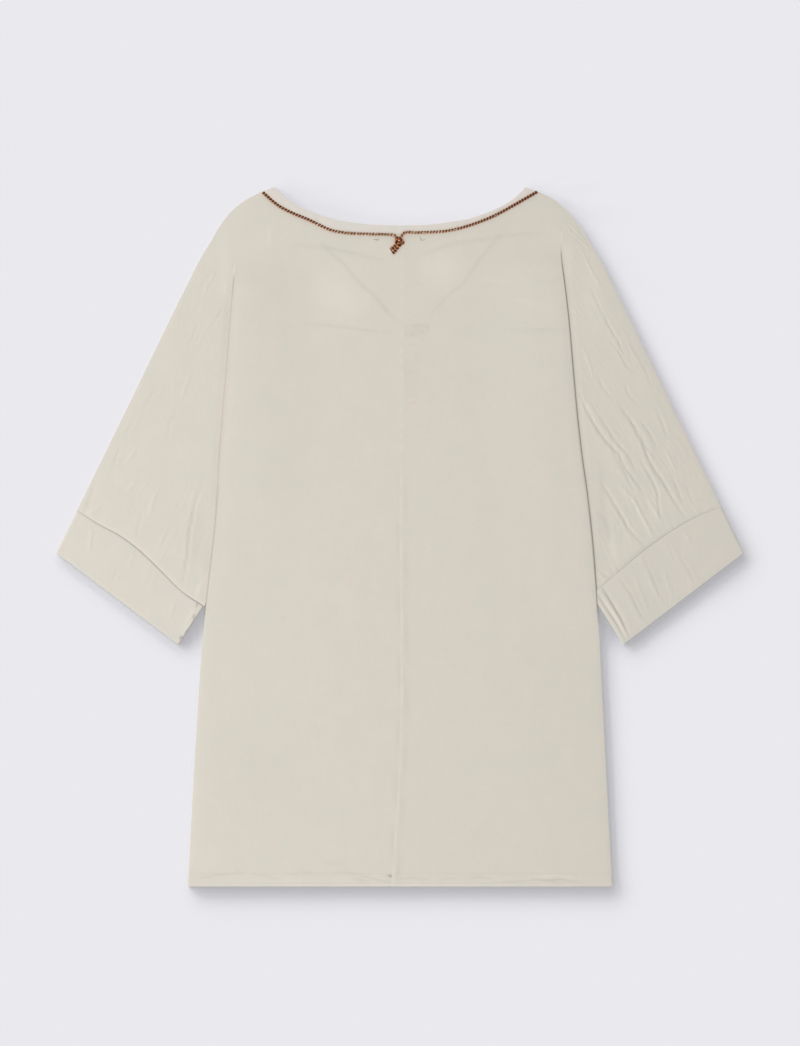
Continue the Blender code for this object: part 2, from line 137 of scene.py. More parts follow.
def add_lamp(lamp, energy, lit, blocked_by=None, travel=None):
    """Add a lamp for one collection. Its light travels straight down, or as it is told to."""
    lamp.energy = energy
    thing = link_new(lamp.name, lamp)
    thing.light_linking.receiver_collection = lit
    if blocked_by is not None:
        thing.light_linking.blocker_collection = blocked_by
    if travel is not None:
        thing.rotation_euler = travel.to_track_quat("-Z", "Y").to_euler()
    return thing


print("air", AIR)

# %% The bank of low lamps
EDGE_HEIGHT = 0.92 * MM    # how high the garment's edges stand
SHADOW_SHIFT = Vector((9.5, -9.3)) * MM    # how far the shadow falls beside an edge
LOW_LAMP_WIDTH = radians(2.0)              # angle across each low lamp, which softens the shadow
Ring = namedtuple("Ring", "radius lamps share")    # lamps whose shifts lie on a ring, in mm
for ring in (Ring(0.0, 1, 0.16), Ring(7.0, 6, 0.42), Ring(13.5, 9, 0.42)):
    for number in range(ring.lamps):
        angle = 2 * pi * (number + 0.5) / ring.lamps
        shift = SHADOW_SHIFT + Vector((cos(angle), sin(angle))) * ring.radius * MM
        travel = Vector((shift.x, shift.y, -EDGE_HEIGHT))
        low = bpy.data.lights.new("low lamp %d %d" % (ring.radius, number), "SUN")
        low.angle = LOW_LAMP_WIDTH
        energy = pi * LOW_LIGHT * ring.share / ring.lamps * travel.length / EDGE_HEIGHT
        add_lamp(low, energy, floor_only, travel=travel)
fill = bpy.data.lights.new("light that nothing shades", "SUN")
add_lamp(fill, pi * OPEN_LIGHT, floor_only, blocked_by=floor_only)
print(len(bpy.data.lights), "lamps for the floor")

# %% The lamps for the cloth
BIG_LAMP_FROM = Vector((-1.0, -0.12, 0.85)).normalized()
BIG_LAMP_AWAY = 5.5
BIG_LAMP_WATTS = 203.0
big = bpy.data.lights.new("big lamp", "AREA")
big.shape = "DISK"
big.size = 1.9
big_lamp = add_lamp(big, BIG_LAMP_WATTS, all_but_floor, floor_only, -BIG_LAMP_FROM)
big_lamp.location = BIG_LAMP_FROM * BIG_LAMP_AWAY

overhead = bpy.data.lights.new("soft light above", "SUN")
overhead.angle = radians(90.0)
add_lamp(overhead, pi * OVERHEAD, all_but_floor)
print(len(bpy.data.lights), "lamps")

# %% [markdown]
# ## Writing materials as sums
#
# A procedural material is a small calculation. Adding each node by hand hides that, so two small
# classes do it: a Wire is a node's output that can be added, multiplied and so on, and a Recipe
# is a material's node tree, with one method that adds any node and short ones for common nodes.

# %% Wires
class Wire:
    """The output of a shader node. Python's operators on it add Math nodes."""

    def __init__(self, recipe, socket):
        self.recipe = recipe
        self.socket = socket

    def math(self, operation, *values):
        return self.recipe.add("ShaderNodeMath", {"operation": operation}, dict(enumerate(values)))

    def __add__(self, other):
        return self.math("ADD", self, other)

    def __sub__(self, other):
        return self.math("SUBTRACT", self, other)

    def __rsub__(self, other):
        return self.math("SUBTRACT", other, self)

    def __mul__(self, other):
        return self.math("MULTIPLY", self, other)

    def __abs__(self):
        return self.math("ABSOLUTE", self)

    __radd__ = __add__
    __rmul__ = __mul__

    def sine(self):
        return self.math("SINE", self)


print("wires can be added, subtracted and multiplied")

# %% Recipes
class Recipe:
    """A material's node tree."""

    def __init__(self, name):
        self.material = bpy.data.materials.new(name)
        self.material.use_nodes = True
        self.tree = self.material.node_tree
        self.shader = self.tree.nodes["Principled BSDF"]

    def add(self, kind, settings, sockets, output=0):
        """Add a node: its type, its settings, its sockets' values or wires. Return one output."""
        node = self.tree.nodes.new(kind)
        for name, value in settings.items():
            setattr(node, name, value)
        self.fill(node, sockets)
        return Wire(self, node.outputs[output])

    def fill(self, node, sockets):
        """Link wires to a node's sockets, and set plain values on the others."""
        for name, value in sockets.items():
            if isinstance(value, Wire):
                self.tree.links.new(value.socket, node.inputs[name])
            else:
                node.inputs[name].default_value = value

    def place(self, scale, turn=0.0):
        """The piece's own coordinates, stretched by a scale for each axis after a turn."""
        spot = self.add("ShaderNodeTexCoord", {}, {}, "Object")
        turned = self.add("ShaderNodeMapping", {}, {"Vector": spot, "Rotation": (0.0, 0.0, turn)})
        return self.add("ShaderNodeMapping", {}, {"Vector": turned, "Scale": scale})

    def noise(self, vector, detail=2.0, bent=0.0):
        """Noise round zero, from about -0.5 to 0.5; it can be bent out of its straight runs."""
        sockets = {"Vector": vector, "Scale": 1.0, "Detail": detail, "Distortion": bent}
        return self.add("ShaderNodeTexNoise", {}, sockets) - 0.5

    def mix(self, factor, first, second):
        """A colour between two, by a factor from 0 to 1."""
        sockets = {0: factor, 6: first, 7: second}
        return self.add("ShaderNodeMix", {"data_type": "RGBA"}, sockets, 2)

    def scaled(self, colour, by):
        """A colour made lighter or darker by a factor."""
        return self.add("ShaderNodeVectorMath", {"operation": "SCALE"}, {0: colour, "Scale": by})

    def attribute(self, name):
        """A number that the mesh carries at each of its points."""
        return self.add("ShaderNodeAttribute", {"attribute_name": name}, {}, "Fac")

    def part(self, vector, axis):
        """One of a vector's three numbers."""
        return self.add("ShaderNodeSeparateXYZ", {}, {0: vector}, axis)

    def ramp(self, value, low, high, least=0.0):
        """A number from its least to 1, while the value runs from low to high."""
        return self.add("ShaderNodeMapRange", {}, {0: value, 1: low, 2: high, 3: least, 4: 1.0})

    def bump(self, height, distance, strength=1.0):
        """A normal tilted by the slopes of a height."""
        sockets = {"Strength": strength, "Distance": distance, "Height": height}
        return self.add("ShaderNodeBump", {}, sockets)


plain = Recipe("pale floor")
plain.fill(plain.shader, {"Base Color": (0.823, 0.815, 0.855, 1.0), "Roughness": 1.0})
plain.shader.inputs["Specular IOR Level"].default_value = 0.0
floor.data.materials.append(plain.material)
print("recipes ready")

# %% [markdown]
# ## The cotton
#
# The cloth is undyed and matte. Close up it is a plain weave with uneven, slubby threads; from
# farther off it shows faint streaks along both thread directions, and soft patches that lean to
# pink or to grey-green. Loose parts are covered with a fine crinkle that runs along the sleeve.
# Colour, roughness and bump all come from the same few noises. Two numbers stored on the mesh
# steer them: "tone" lightens or darkens the cloth where other layers show through, and also
# holds painted shade and painted highlights along folds, seams, creases and the hem; "sleeve"
# says where the crinkle of the sleeve takes over from that of the body.

# %% The cotton
THREAD = 0.8 * MM          # from one thread to the next
SHEEN = 0.06


def cotton(name, tone, turn=0.0, sleeve_turn=0.0, crinkle=1.0):
    """A cloth finish: its colour, how far its threads and its crinkle are turned."""
    recipe = Recipe(name)
    threads = recipe.place((pi / THREAD, pi / THREAD, 1.0), turn)
    warp = recipe.part(threads, "X").sine()
    weft = recipe.part(threads, "Y").sine()
    over = warp * weft * 0.5 + 0.5
    weave = abs(warp) * over + abs(weft) * (1 - over)

    along = recipe.noise(recipe.place((700.0, 26.0, 1.0), turn))
    across = recipe.noise(recipe.place((26.0, 700.0, 1.0), turn))
    slubs = along + across
    specks = recipe.noise(recipe.place((420.0, 420.0, 420.0), turn))
    patches = recipe.noise(recipe.place((42.0, 36.0, 3.0), turn), 2.0)
    clouds = recipe.noise(recipe.place((8.0, 6.0, 3.0), turn + 1.0), 2.0)

    # The tone attribute brings in painted shade and painted highlights, besides what shows through.
    light = slubs * 0.034 + specks * 0.05 + patches * 0.045 + recipe.attribute("tone") + 1.0
    rosy = [value * shift for value, shift in zip(tone, (1.022, 0.985, 0.985))] + [1.0]
    mossy = [value * shift for value, shift in zip(tone, (0.978, 1.012, 1.008))] + [1.0]
    tint = clouds * 0.9 + patches * 1.1 + 0.5
    colour = recipe.scaled(recipe.mix(tint, mossy, rosy), light)

    body = recipe.noise(recipe.place((75.0, 17.0, 9.0), turn), 2.0)
    sleeve = abs(recipe.noise(recipe.place((84.0, 21.0, 9.0), sleeve_turn), 3.0, 0.9))
    streaks = recipe.noise(recipe.place((230.0, 60.0, 9.0), sleeve_turn), 2.0)
    spots = recipe.noise(recipe.place((20.0, 11.0, 9.0), sleeve_turn), 1.0)
    where = recipe.ramp(spots, -0.12, 0.16, 0.1)
    share = recipe.attribute("sleeve")
    relief = weave * 0.02 + slubs * 0.03
    relief = relief + body * (1 - share) * crinkle * 0.16
    relief = relief + (sleeve * 1.5 + streaks * 0.12) * share * where * crinkle
    recipe.fill(recipe.shader, {
        "Base Color": colour,
        "Roughness": slubs * 0.12 + 0.9,
        "Normal": recipe.bump(relief, MM),
        "Sheen Weight": SHEEN,
        "Sheen Roughness": 0.5,
        "Specular IOR Level": 0.25,
    })
    return recipe.material


CREAM = (0.672, 0.631, 0.555)
SLEEVE_LEAN = radians(28.0)
left_cotton = cotton("cotton, left back", CREAM, 0.0, SLEEVE_LEAN, crinkle=0.5)
right_cotton = cotton("cotton, right back", CREAM, 0.0, -SLEEVE_LEAN, crinkle=0.8)
front_cotton = cotton("cotton, front", CREAM)
band_cotton = cotton("cotton, neckband", (0.712, 0.672, 0.612), crinkle=0.4)
left_cuff_cotton = cotton("cotton, left cuff", (0.672, 0.632, 0.560), SLEEVE_LEAN, crinkle=0.25)
# The right cuff's cotton is a little darker than the left cuff's: painted shade on the garment's right
# side.
right_cuff_cotton = cotton("cotton, right cuff", (0.665, 0.627, 0.555), -SLEEVE_LEAN, crinkle=0.4)
print("cotton in", len([m for m in bpy.data.materials if "cotton" in m.name]), "finishes")

# %% [markdown]
# ## The pattern
#
# The garment is drawn as a pattern maker draws it: across, from the centre line, and up, from the
# hem. These are the sizes that the solids are built from, so the sheets lie where the solids lie.
# Only the cloth is thinner here, less than half a millimetre, because nothing has to be
# manufactured from it or held apart.

# %% Sizes of the pattern
LEFT, RIGHT = -1, 1        # the wearer's left lies toward -X
LENGTH = 0.8192            # from the hem to the top of the neckband at the shoulder
WALL = 0.4 * MM            # a layer of cloth
LAYER = 0.65 * MM          # from one layer to the next
FIRST = 0.25 * MM          # height of the middle of the lowest layer
SEAM_GAP = 0.1 * MM        # left between two pieces at a seam
UNDERARM = 0.470           # height at which the side seam meets the sleeve seam
PLEAT_TOP = 0.765          # height at which the pleat has died out into flat cloth
FOLD_ENDS = {LEFT: (0.690, 0.738), RIGHT: (0.712, 0.754)}    # where it stops being folded flat
RISE = 0.100               # width over which the body climbs onto the folded layers
HINGE = 0.070              # width over which the sections run level beside the folded layers
CLEAR = 1.5 * MM           # room between the climb's end and the layers below it
SHOULDER = 0.786           # height on the overarm edge level with the pleat's top
CORNER = 0.161             # half the width of the neckline, from shoulder to shoulder
NECK_FOLD = 0.140          # where the pleat's line, run on upward, meets the neckline
HEM = 0.014                # how deep the hem is turned up
HEM_OUT = 0.0008           # how far its edge has stretched
print("pattern", round(LENGTH / MM), "mm long")

# %% Points of the pattern's lines
# Along the body's height: its edge, the pleat's depth, and how many layers the body lies on.
SIDE = (
    (0.000, 0.2487), (0.160, 0.2402), (0.325, 0.2300), (0.455, 0.2175), (0.587, 0.2050),
    (0.688, 0.1970), (0.765, 0.1908),
)
PLEAT = ((0.470, 0.0200), (0.600, 0.0130), (0.690, 0.0010), (0.820, 0.0010))
LIFT = ((0.000, 0.0), (0.283, 0.0), (0.328, 2.6), (0.425, 2.6), (0.470, 4.0))
# The sleeve's outer edge, from the cuff up to the shoulder.
OVERARM = (
    (0.3904, 0.4030), (0.5600, 0.3201), (0.7100, 0.2469), (0.7343, 0.2346), (0.7578, 0.2205),
    (0.7789, 0.2076), (0.7930, 0.1955), (0.8071, 0.1760), (0.8145, 0.1610),
)
# From the centre outward: the neckbands' seams and free edges.
LEFT_SEAM = (
    (0.000, 0.7652), (0.035, 0.7661), (0.059, 0.7674), (0.082, 0.7706), (0.106, 0.7802),
    (0.129, 0.7906), (0.145, 0.8005), (0.161, 0.8143),
)
RIGHT_SEAM = (
    (0.000, 0.7652), (0.035, 0.7671), (0.059, 0.7696), (0.082, 0.7757), (0.106, 0.7850),
    (0.129, 0.7970), (0.145, 0.8055), (0.161, 0.8143),
)
BACK_EDGE = (
    (0.000, 0.7742), (0.035, 0.7754), (0.059, 0.7783), (0.081, 0.7822), (0.108, 0.7918),
    (0.124, 0.7995), (0.137, 0.8090), (0.1472, 0.8192),
)
FRONT_SEAM = (
    (0.000, 0.6560), (0.028, 0.6760), (0.062, 0.7085), (0.094, 0.7440), (0.125, 0.7780),
    (0.161, 0.8143),
)
FRONT_EDGE = (
    (0.000, 0.6700), (0.028, 0.6895), (0.058, 0.7190), (0.086, 0.7510), (0.115, 0.7830),
    (0.1472, 0.8192),
)
Cuff = namedtuple("Cuff", "seam_inner seam_outer hem_inner hem_outer")
CUFFS = {
    LEFT: Cuff(Vector((0.2310, 0.3275)), Vector((0.3788, 0.4400)),
               Vector((0.2600, 0.2830)), Vector((0.4030, 0.3904))),
    RIGHT: Cuff(Vector((0.2245, 0.3416)), Vector((0.3766, 0.4445)),
                Vector((0.2620, 0.2830)), Vector((0.4030, 0.3904))),
}
# Along a cuff's seam: how far it bows up.
LEFT_BOW = (
    (0.0, 0.0), (0.17, -0.0015), (0.34, 0.0040), (0.50, 0.0088), (0.66, 0.0086), (0.83, 0.0030),
    (1.0, 0.0),
)
RIGHT_BOW = (
    (0.0, 0.0), (0.17, 0.0039), (0.34, 0.0087), (0.50, 0.0110), (0.66, 0.0108), (0.83, 0.0074),
    (1.0, 0.0),
)
# Along the height: how far the body's edges and the centre seam lie to one side.
LOW_SWAY = (
    (0.10, 0.0), (0.25, 0.0007), (0.30, 0.0014), (0.36, 0.0027), (0.41, 0.0036),
    (0.46, 0.0029), (0.50, 0.0012), (0.55, 0.0002), (0.60, 0.0),
)
HIGH_SWAY = (
    (0.640, -0.0002), (0.673, -0.0008), (0.704, -0.0020), (0.738, -0.0036), (0.765, -0.0030),
    (0.800, 0.0),
)
CENTRE = ((0.000, -0.0075), (0.040, -0.0050), (0.130, 0.0005), (0.450, 0.0020), (0.800, 0.0023))
print("the side line has", len(SIDE), "points and the overarm line", len(OVERARM))

# %% Curves through the pattern's points
def curve_through(points):
    """Return the smooth curve through (place, value) points as a function of the place."""
    places, values = zip(*points)
    last = len(places) - 1
    slopes = [(values[i + 1] - values[i]) / (places[i + 1] - places[i]) for i in range(last)]
    tangents = [slopes[0]]
    for i in range(1, last):
        before, after = places[i] - places[i - 1], places[i + 1] - places[i]
        tangents.append((slopes[i - 1] * after + slopes[i] * before) / (before + after))
    tangents.append(slopes[-1])

    def value(place):
        place = min(max(place, places[0]), places[-1])
        i = min(max(sum(place >= p for p in places) - 1, 0), last - 1)
        step = places[i + 1] - places[i]
        t = (place - places[i]) / step
        return (values[i] * (1 + 2 * t) * (1 - t) ** 2 + values[i + 1] * t * t * (3 - 2 * t)
                + step * t * (1 - t) * (tangents[i] * (1 - t) - tangents[i + 1] * t))

    return value


def ease(t):
    """Run from 0 to 1 with a soft start and a soft end."""
    t = min(max(t, 0.0), 1.0)
    return t * t * (3 - 2 * t)


def steps_through(points):
    """Return a line through (place, value) points that eases from each one to the next."""
    def value(place):
        for (x0, y0), (x1, y1) in zip(points, points[1:]):
            if place <= x1:
                break
        return y0 + (y1 - y0) * ease((place - x0) / (x1 - x0))

    return value


def spread(stops, counts):
    """Return places from the first stop to the last, evenly spaced between each two stops."""
    places = [stops[0]]
    for low, high, count in zip(stops, stops[1:], counts):
        places += [low + (high - low) * (i + 1) / count for i in range(count)]
    return places


side_at = curve_through(SIDE)
tuck_curve = curve_through(PLEAT)
lift_at = steps_through(LIFT)
overarm_at = curve_through(OVERARM)
back_seams = {LEFT: curve_through(LEFT_SEAM), RIGHT: curve_through(RIGHT_SEAM)}
back_edge = curve_through(BACK_EDGE)
front_seam = curve_through(FRONT_SEAM)
front_edge = curve_through(FRONT_EDGE)
cuff_bows = {LEFT: curve_through(LEFT_BOW), RIGHT: curve_through(RIGHT_BOW)}
centre_at = curve_through(CENTRE)
sways = {LEFT: curve_through(LOW_SWAY), RIGHT: curve_through(LOW_SWAY + HIGH_SWAY)}
print("side seam at the hem", round(side_at(0.0) / MM), "mm from the centre")

# %% [markdown]
# ## How half a panel lies
#
# The front and the back are cut alike: a body, and a sleeve in one with it. With the sleeves
# drawn down beside the body, the spare cloth under each arm folds into one flat pleat under the
# body's edge. Each half of a panel is described by sections, lines of points that run outward
# from the centre: over the flat body, up a soft slope onto the folded layers, round the two bends
# of the pleat, and out over the sleeve. Every point also says how loose the cloth is there, from
# 0 at seams and folds to 1 where it may lift into creases.

# %% Layers, bends and nets
Ply = namedtuple("Ply", "level first_bend second_bend")
BACK_PLY = Ply(1, 1.5 * LAYER, 0.5 * LAYER)
FRONT_PLY = Ply(0, 0.5 * LAYER, 1.5 * LAYER)
OUTER_BEND = 1.5 * LAYER
EDGE_STEP = 0.010          # over which the edges come out of the bends below the underarm
FLAT_TURN = 0.001          # turn of a bend that has died out
HELD = 12.0 * MM           # how far from a fold of the body the cloth is still held down
HEM_HELD = 25.0 * MM       # the same above the hem,
NECK_HELD = 10.0 * MM      # below the neckline,
SLEEVE_HELD = 8.0 * MM     # on the sleeve beside the body,
CUFF_HELD = 5.0 * MM       # and above a cuff
SEAM_SLANT = 0.80          # the straight way to a slanting seam, for each step up,
EDGE_SLANT = 0.87          # and to the overarm edge, for each step across
ROLL = 3.0 * MM            # width of the soft edge where back and front come together
EDGE_DROP = 0.2 * MM       # how far the back comes down at its edges

# The numbers of columns and rows: body, half a bend, body rows, sleeve, and rows above.
Net = namedtuple("Net", "body half_bend body_rows sleeve_rows pleat_rows shoulder_rows sleeve")
BACK_NETS = {
    LEFT: Net((5, 26, 24, 10), 4, (14, 50, 10, 24, 8), (6, 48, 10), (76, 24, 34), 22, (84, 8)),
    RIGHT: Net((5, 24, 18, 10), 4, (14, 46, 10, 22, 8), (6, 46, 10), (84, 24, 28), 18, (122, 8)),
}
FRONT_NET = Net((2, 22, 16, 8), 3, (6, 40, 8, 14, 6), (4, 24, 6), (36, 14, 20), 16, (34, 6))
print("a back has", sum(BACK_NETS[RIGHT].body_rows + BACK_NETS[RIGHT].pleat_rows), "sections")

# %% Heights and looseness
def ply_height(ply):
    return FIRST + ply.level * LAYER


def held_at(distance, reach=HELD):
    """How loose the cloth is at a distance from where it is held."""
    return ease(distance / reach)


def edge_drop(ply, distance):
    """How far the back comes down to the front near their common edge."""
    return -ply.level * EDGE_DROP * (1 - ease(distance / ROLL))


def body_height(ply, across, climb_end, lift):
    """Height of the body's cloth, which climbs onto the layers below it."""
    return ply_height(ply) + lift * ease((across - climb_end) / RISE + 1)


print("the back's cloth lies", round(ply_height(BACK_PLY) / MM, 2), "mm above the floor")

# %% The pleat
def pleat_path(ply, tuck, turn, half_bend):
    """Return the pleat's section as steps outward and downward from the start of its first bend.

    The cloth bends under by the turn, runs straight for the tuck and bends back by the same
    turn. A bend of a smaller turn has a larger radius, and takes up less of the cloth.
    """
    taken = 0.4 + 0.6 * (turn / pi) ** 2
    tuck *= taken
    first, second = (bend * pi / turn * taken for bend in (ply.first_bend, ply.second_bend))
    parts = [i / (2 * half_bend) for i in range(2 * half_bend + 1)]
    path = [(first * sin(turn * part), first * (1 - cos(turn * part))) for part in parts]
    run_out = path[-1][0] + tuck * cos(turn)
    run_down = path[-1][1] + tuck * sin(turn)
    for part in parts:
        left = turn * (1 - part)
        path.append((run_out + second * (sin(turn) - sin(left)),
                     run_down + second * (cos(left) - cos(turn))))
    return path


def tuck_at(up):
    """How deep the pleat is tucked under."""
    return max(tuck_curve(up), PLEAT[-1][1])


def folded_at(side, up):
    """How sharply the pleat is folded: 1 up to where it is flat, 0 where it has died out."""
    low, high = FOLD_ENDS[side]
    return 1 - ease((up - low) / (high - low))


def body_columns(under, start, net):
    """Return the places across the body: flat, up the climb and over the layers below it."""
    climb_end = min(under, start) - CLEAR
    stops = (0.0, 5 * MM, climb_end - RISE, climb_end, start)
    return spread(stops, net.body), climb_end


print("the pleat is", round(tuck_at(UNDERARM) / MM), "mm deep at the underarm")

# %% Edges and corners
def below_underarm(side, up):
    """How far down the sleeve this height is: 0 at the underarm, 1 at the cuff's inner end."""
    return (UNDERARM - up) / (UNDERARM - CUFFS[side].seam_inner.y)


def sleeve_inner(side, up):
    """Where the sleeve's inner edge lies under the body, below the underarm."""
    at_underarm = side_at(UNDERARM) - WALL - 2 * OUTER_BEND - tuck_at(UNDERARM)
    return at_underarm + (CUFFS[side].seam_inner.x - at_underarm) * below_underarm(side, up)


def curl_at(up):
    """How much of a bend is left in the edges below the underarm: 1 there, 0 two steps down."""
    return min(max((up - UNDERARM) / (2 * EDGE_STEP) + 1, 0.0), 1.0)


def set_back(bend, up):
    """How far an edge stays in just below the underarm, where the outer layer comes out flat."""
    return (OUTER_BEND + WALL / 2 - bend) * min(max((up - UNDERARM) / EDGE_STEP + 3, 0.0), 1.0)


def quarter_turn(radius, half_bend):
    """Return half a bend from its start to its crown, as steps outward and downward."""
    angles = [pi / 2 * (i + 1) / half_bend for i in range(half_bend)]
    return [(radius * sin(angle), radius * (1 - cos(angle))) for angle in angles]


def overarm_height(side, up):
    """Height on the overarm edge of the section that crosses the side line at this height."""
    low, outer_low = CUFFS[side].seam_inner.y, CUFFS[side].seam_outer.y
    return outer_low + (SHOULDER - outer_low) * (up - low) / (PLEAT_TOP - low)


def seam_offset(curve, across):
    """Return how far a neck seam's edge moves up or down, so that half the gap is left."""
    rise = curve(across + MM) - curve(across - MM)
    return SEAM_GAP / 2 * hypot(1.0, rise / (2 * MM))


cuff_top = overarm_height(RIGHT, CUFFS[RIGHT].seam_inner.y)
print("the right cuff meets the overarm edge", round(cuff_top / MM), "mm above the hem")

# %% The body below the underarm
def body_section(side, ply, up, net):
    """One section of the body below the underarm, as (across, up, height, loose)."""
    side_edge = side_at(up)
    start = side_edge - WALL / 2 - OUTER_BEND
    under = sleeve_inner(side, up) if up > CUFFS[side].seam_inner.y else start
    places, climb_end = body_columns(under, start, net)
    lift = lift_at(up) * LAYER
    hem = held_at(up - HEM, HEM_HELD)
    section = []
    for across in places:
        height = body_height(ply, across, climb_end, lift) + edge_drop(ply, side_edge - across)
        section.append((across, up, height, held_at(side_edge - across) * hem))
    curl, edge = curl_at(up), side_edge - set_back(ply.first_bend, up)
    for i, (out, down) in enumerate(quarter_turn(ply.first_bend, net.half_bend)):
        flat = (edge - start) * (i + 1) / net.half_bend
        across = start + flat + (out - flat) * curl
        height = ply_height(ply) + lift - down * curl
        height += edge_drop(ply, edge - start - flat) * (1 - curl)
        section.append((across, up, height, 0.0))
    return section


net = BACK_NETS[RIGHT]
print("a section of the body has", len(body_section(RIGHT, BACK_PLY, 0.2, net)), "points")

# %% The sleeve below the underarm
def sleeve_profile(side, ply, up, inner, outer, net):
    """Places across and heights of a section: half a bend under the body, then flat cloth."""
    curl = curl_at(up)
    end = sleeve_inner(side, up) + WALL / 2 + OUTER_BEND
    bends = reversed([(0.0, 0.0)] + quarter_turn(ply.second_bend, net.half_bend))
    profile = []
    for i, (out, height) in enumerate(bends):
        flat = inner + OUTER_BEND * i / net.half_bend
        profile.append((flat + (end - out - flat) * curl, height * curl))
    start = profile[-1][0]
    parts = spread((0.0, 0.95, 1.0), net.sleeve)[1:]
    return profile + [(start + (outer - start) * part, 0.0) for part in parts]


def sleeve_section(side, ply, up, net):
    """One section of the sleeve whose inner edge lies under the body at this height."""
    cuff, bow = CUFFS[side], cuff_bows[side]
    outer_up = overarm_height(side, up)
    inner = Vector((sleeve_inner(side, up) + set_back(ply.second_bend, up), up))
    outer = Vector((overarm_at(outer_up), outer_up))
    if up == cuff.seam_inner.y:
        away = (cuff.seam_inner - cuff.hem_inner).normalized()
        inner, outer = inner + away * SEAM_GAP / 2, outer + away * SEAM_GAP / 2
    width, rise = outer - inner
    section = []
    from_seam = (up - cuff.seam_inner.y) * SEAM_SLANT
    down, fold = below_underarm(side, up), side_at(UNDERARM)
    for across, height in sleeve_profile(side, ply, up, inner.x, outer.x, net):
        along = (across - inner.x) / width
        straight = inner.y + rise * along + bow(along) * down
        fanned = up + rise * max(across - fold, 0.0) / (outer.x - fold)
        level = fanned + (straight - fanned) * down
        from_edge = (outer.x - across) * EDGE_SLANT
        height += ply_height(ply) + edge_drop(ply, min(from_edge, from_seam))
        loose = held_at(across - side_at(level) - MM, SLEEVE_HELD)
        loose *= held_at(from_edge) * held_at(from_seam, CUFF_HELD)
        section.append((across, level, height, loose))
    return section


print("a section of the sleeve has", len(sleeve_section(RIGHT, BACK_PLY, 0.4, net)), "points")

# %% Above the underarm
def upper_profile(side, ply, up, fold, outer, net):
    """Places across and heights of a section above the underarm, and where its climb ends."""
    tuck = tuck_at(up)
    start = fold - WALL / 2 - OUTER_BEND
    turn = max(pi * folded_at(side, up), FLAT_TURN)
    path = pleat_path(ply, tuck, turn, net.half_bend)
    lift = path[-1][1]
    places, climb_end = body_columns(start - tuck - OUTER_BEND - WALL / 2, start, net)
    heights = [body_height(ply, across, climb_end, lift) for across in places]
    for out, down in path[1:]:
        places.append(start + out)
        heights.append(ply_height(ply) + lift - down)
    sleeve_start = places[-1]
    for part in spread((0.0, 0.95, 1.0), net.sleeve)[1:]:
        places.append(sleeve_start + (outer - sleeve_start) * part)
        heights.append(ply_height(ply))
    return places, heights, climb_end


def upper_section(side, ply, up, seam, net):
    """One section above the underarm: body, pleat and sleeve, as (across, up, height, loose).

    A section runs level over the pleat and fans out over the sleeve. Toward the neck it bends
    until the last one follows the neckline's seam.
    """
    top = seam(NECK_FOLD)
    bent = (up - UNDERARM) / (top - UNDERARM)
    shoulder = max(up - PLEAT_TOP, 0.0) / (top - PLEAT_TOP)
    fold = side_at(min(up, PLEAT_TOP))
    fold += (NECK_FOLD - fold) * shoulder
    inner_up = UNDERARM + (seam(0.0) - UNDERARM) * bent
    outer_up = overarm_height(side, min(up, PLEAT_TOP))
    outer_up += (OVERARM[-1][0] - outer_up) * shoulder
    outer = overarm_at(outer_up)

    places, heights, climb_end = upper_profile(side, ply, up, fold, outer, net)
    body_end = sum(net.body)
    hinge = climb_end - HINGE
    hinge += (fold - hinge) * shoulder
    first, second, third = (0.0, seam(0.0)), (NECK_FOLD, top), (CORNER, seam(CORNER))

    def chord(station):
        (x0, y0), (x1, y1) = (first, second) if station <= NECK_FOLD else (second, third)
        return y0 + (y1 - y0) * (station - x0) / (x1 - x0)

    section = []
    for i, (across, height) in enumerate(zip(places, heights)):
        if across <= hinge:
            station = NECK_FOLD * across / hinge
            level = inner_up + (up - inner_up) * across / hinge
            level += bent * (seam(station) - chord(station))
        elif across <= fold:
            station = NECK_FOLD
            level = up
        else:
            reach = (across - fold) / (outer - fold)
            station = NECK_FOLD + (CORNER - NECK_FOLD) * reach
            level = up + (outer_up - up) * reach + shoulder * (seam(station) - chord(station))
        if up == top:
            level -= seam_offset(seam, station)
        from_seam = (top - up) * SEAM_SLANT
        from_edge = (outer - across) * EDGE_SLANT
        if i <= body_end:
            freedom = held_at(fold - across)
        elif i <= body_end + 4 * net.half_bend + 1:
            freedom = 0.0
        else:
            freedom = held_at(across - fold - MM, SLEEVE_HELD)
        loose = 1 - folded_at(side, up) * (1 - freedom)
        loose *= held_at(from_edge) * held_at(from_seam, NECK_HELD)
        drop = edge_drop(ply, min(from_edge, from_seam))
        section.append((across, level, height + drop, loose))
    return section


print("a section above has", len(upper_section(RIGHT, BACK_PLY, 0.6, back_edge, net)), "points")

# %% All sections of half a panel
def half_panel_sections(side, ply, seam, net):
    """Return the sections of the body below the underarm, of the sleeve there, and of all above."""
    low = UNDERARM - 3 * EDGE_STEP
    body_stops = (0.0, HEM + 2 * MM, 0.283, 0.328, low, UNDERARM)
    body_ups = spread(body_stops, net.body_rows)[:-1]
    cuff_up = CUFFS[side].seam_inner.y
    sleeve_ups = spread((cuff_up, cuff_up + 5 * MM, low, UNDERARM), net.sleeve_rows)[:-1]
    top = seam(NECK_FOLD)
    upper_stops = (UNDERARM, 0.640, 0.700, PLEAT_TOP, top)
    upper_ups = spread(upper_stops, (*net.pleat_rows, net.shoulder_rows))[:-1] + [top]
    return (
        [body_section(side, ply, up, net) for up in body_ups],
        [sleeve_section(side, ply, up, net) for up in sleeve_ups],
        [upper_section(side, ply, up, seam, net) for up in upper_ups],
    )


panel = half_panel_sections(RIGHT, BACK_PLY, back_seams[RIGHT], net)
print("half a back has", sum(len(sections) for sections in panel), "sections")
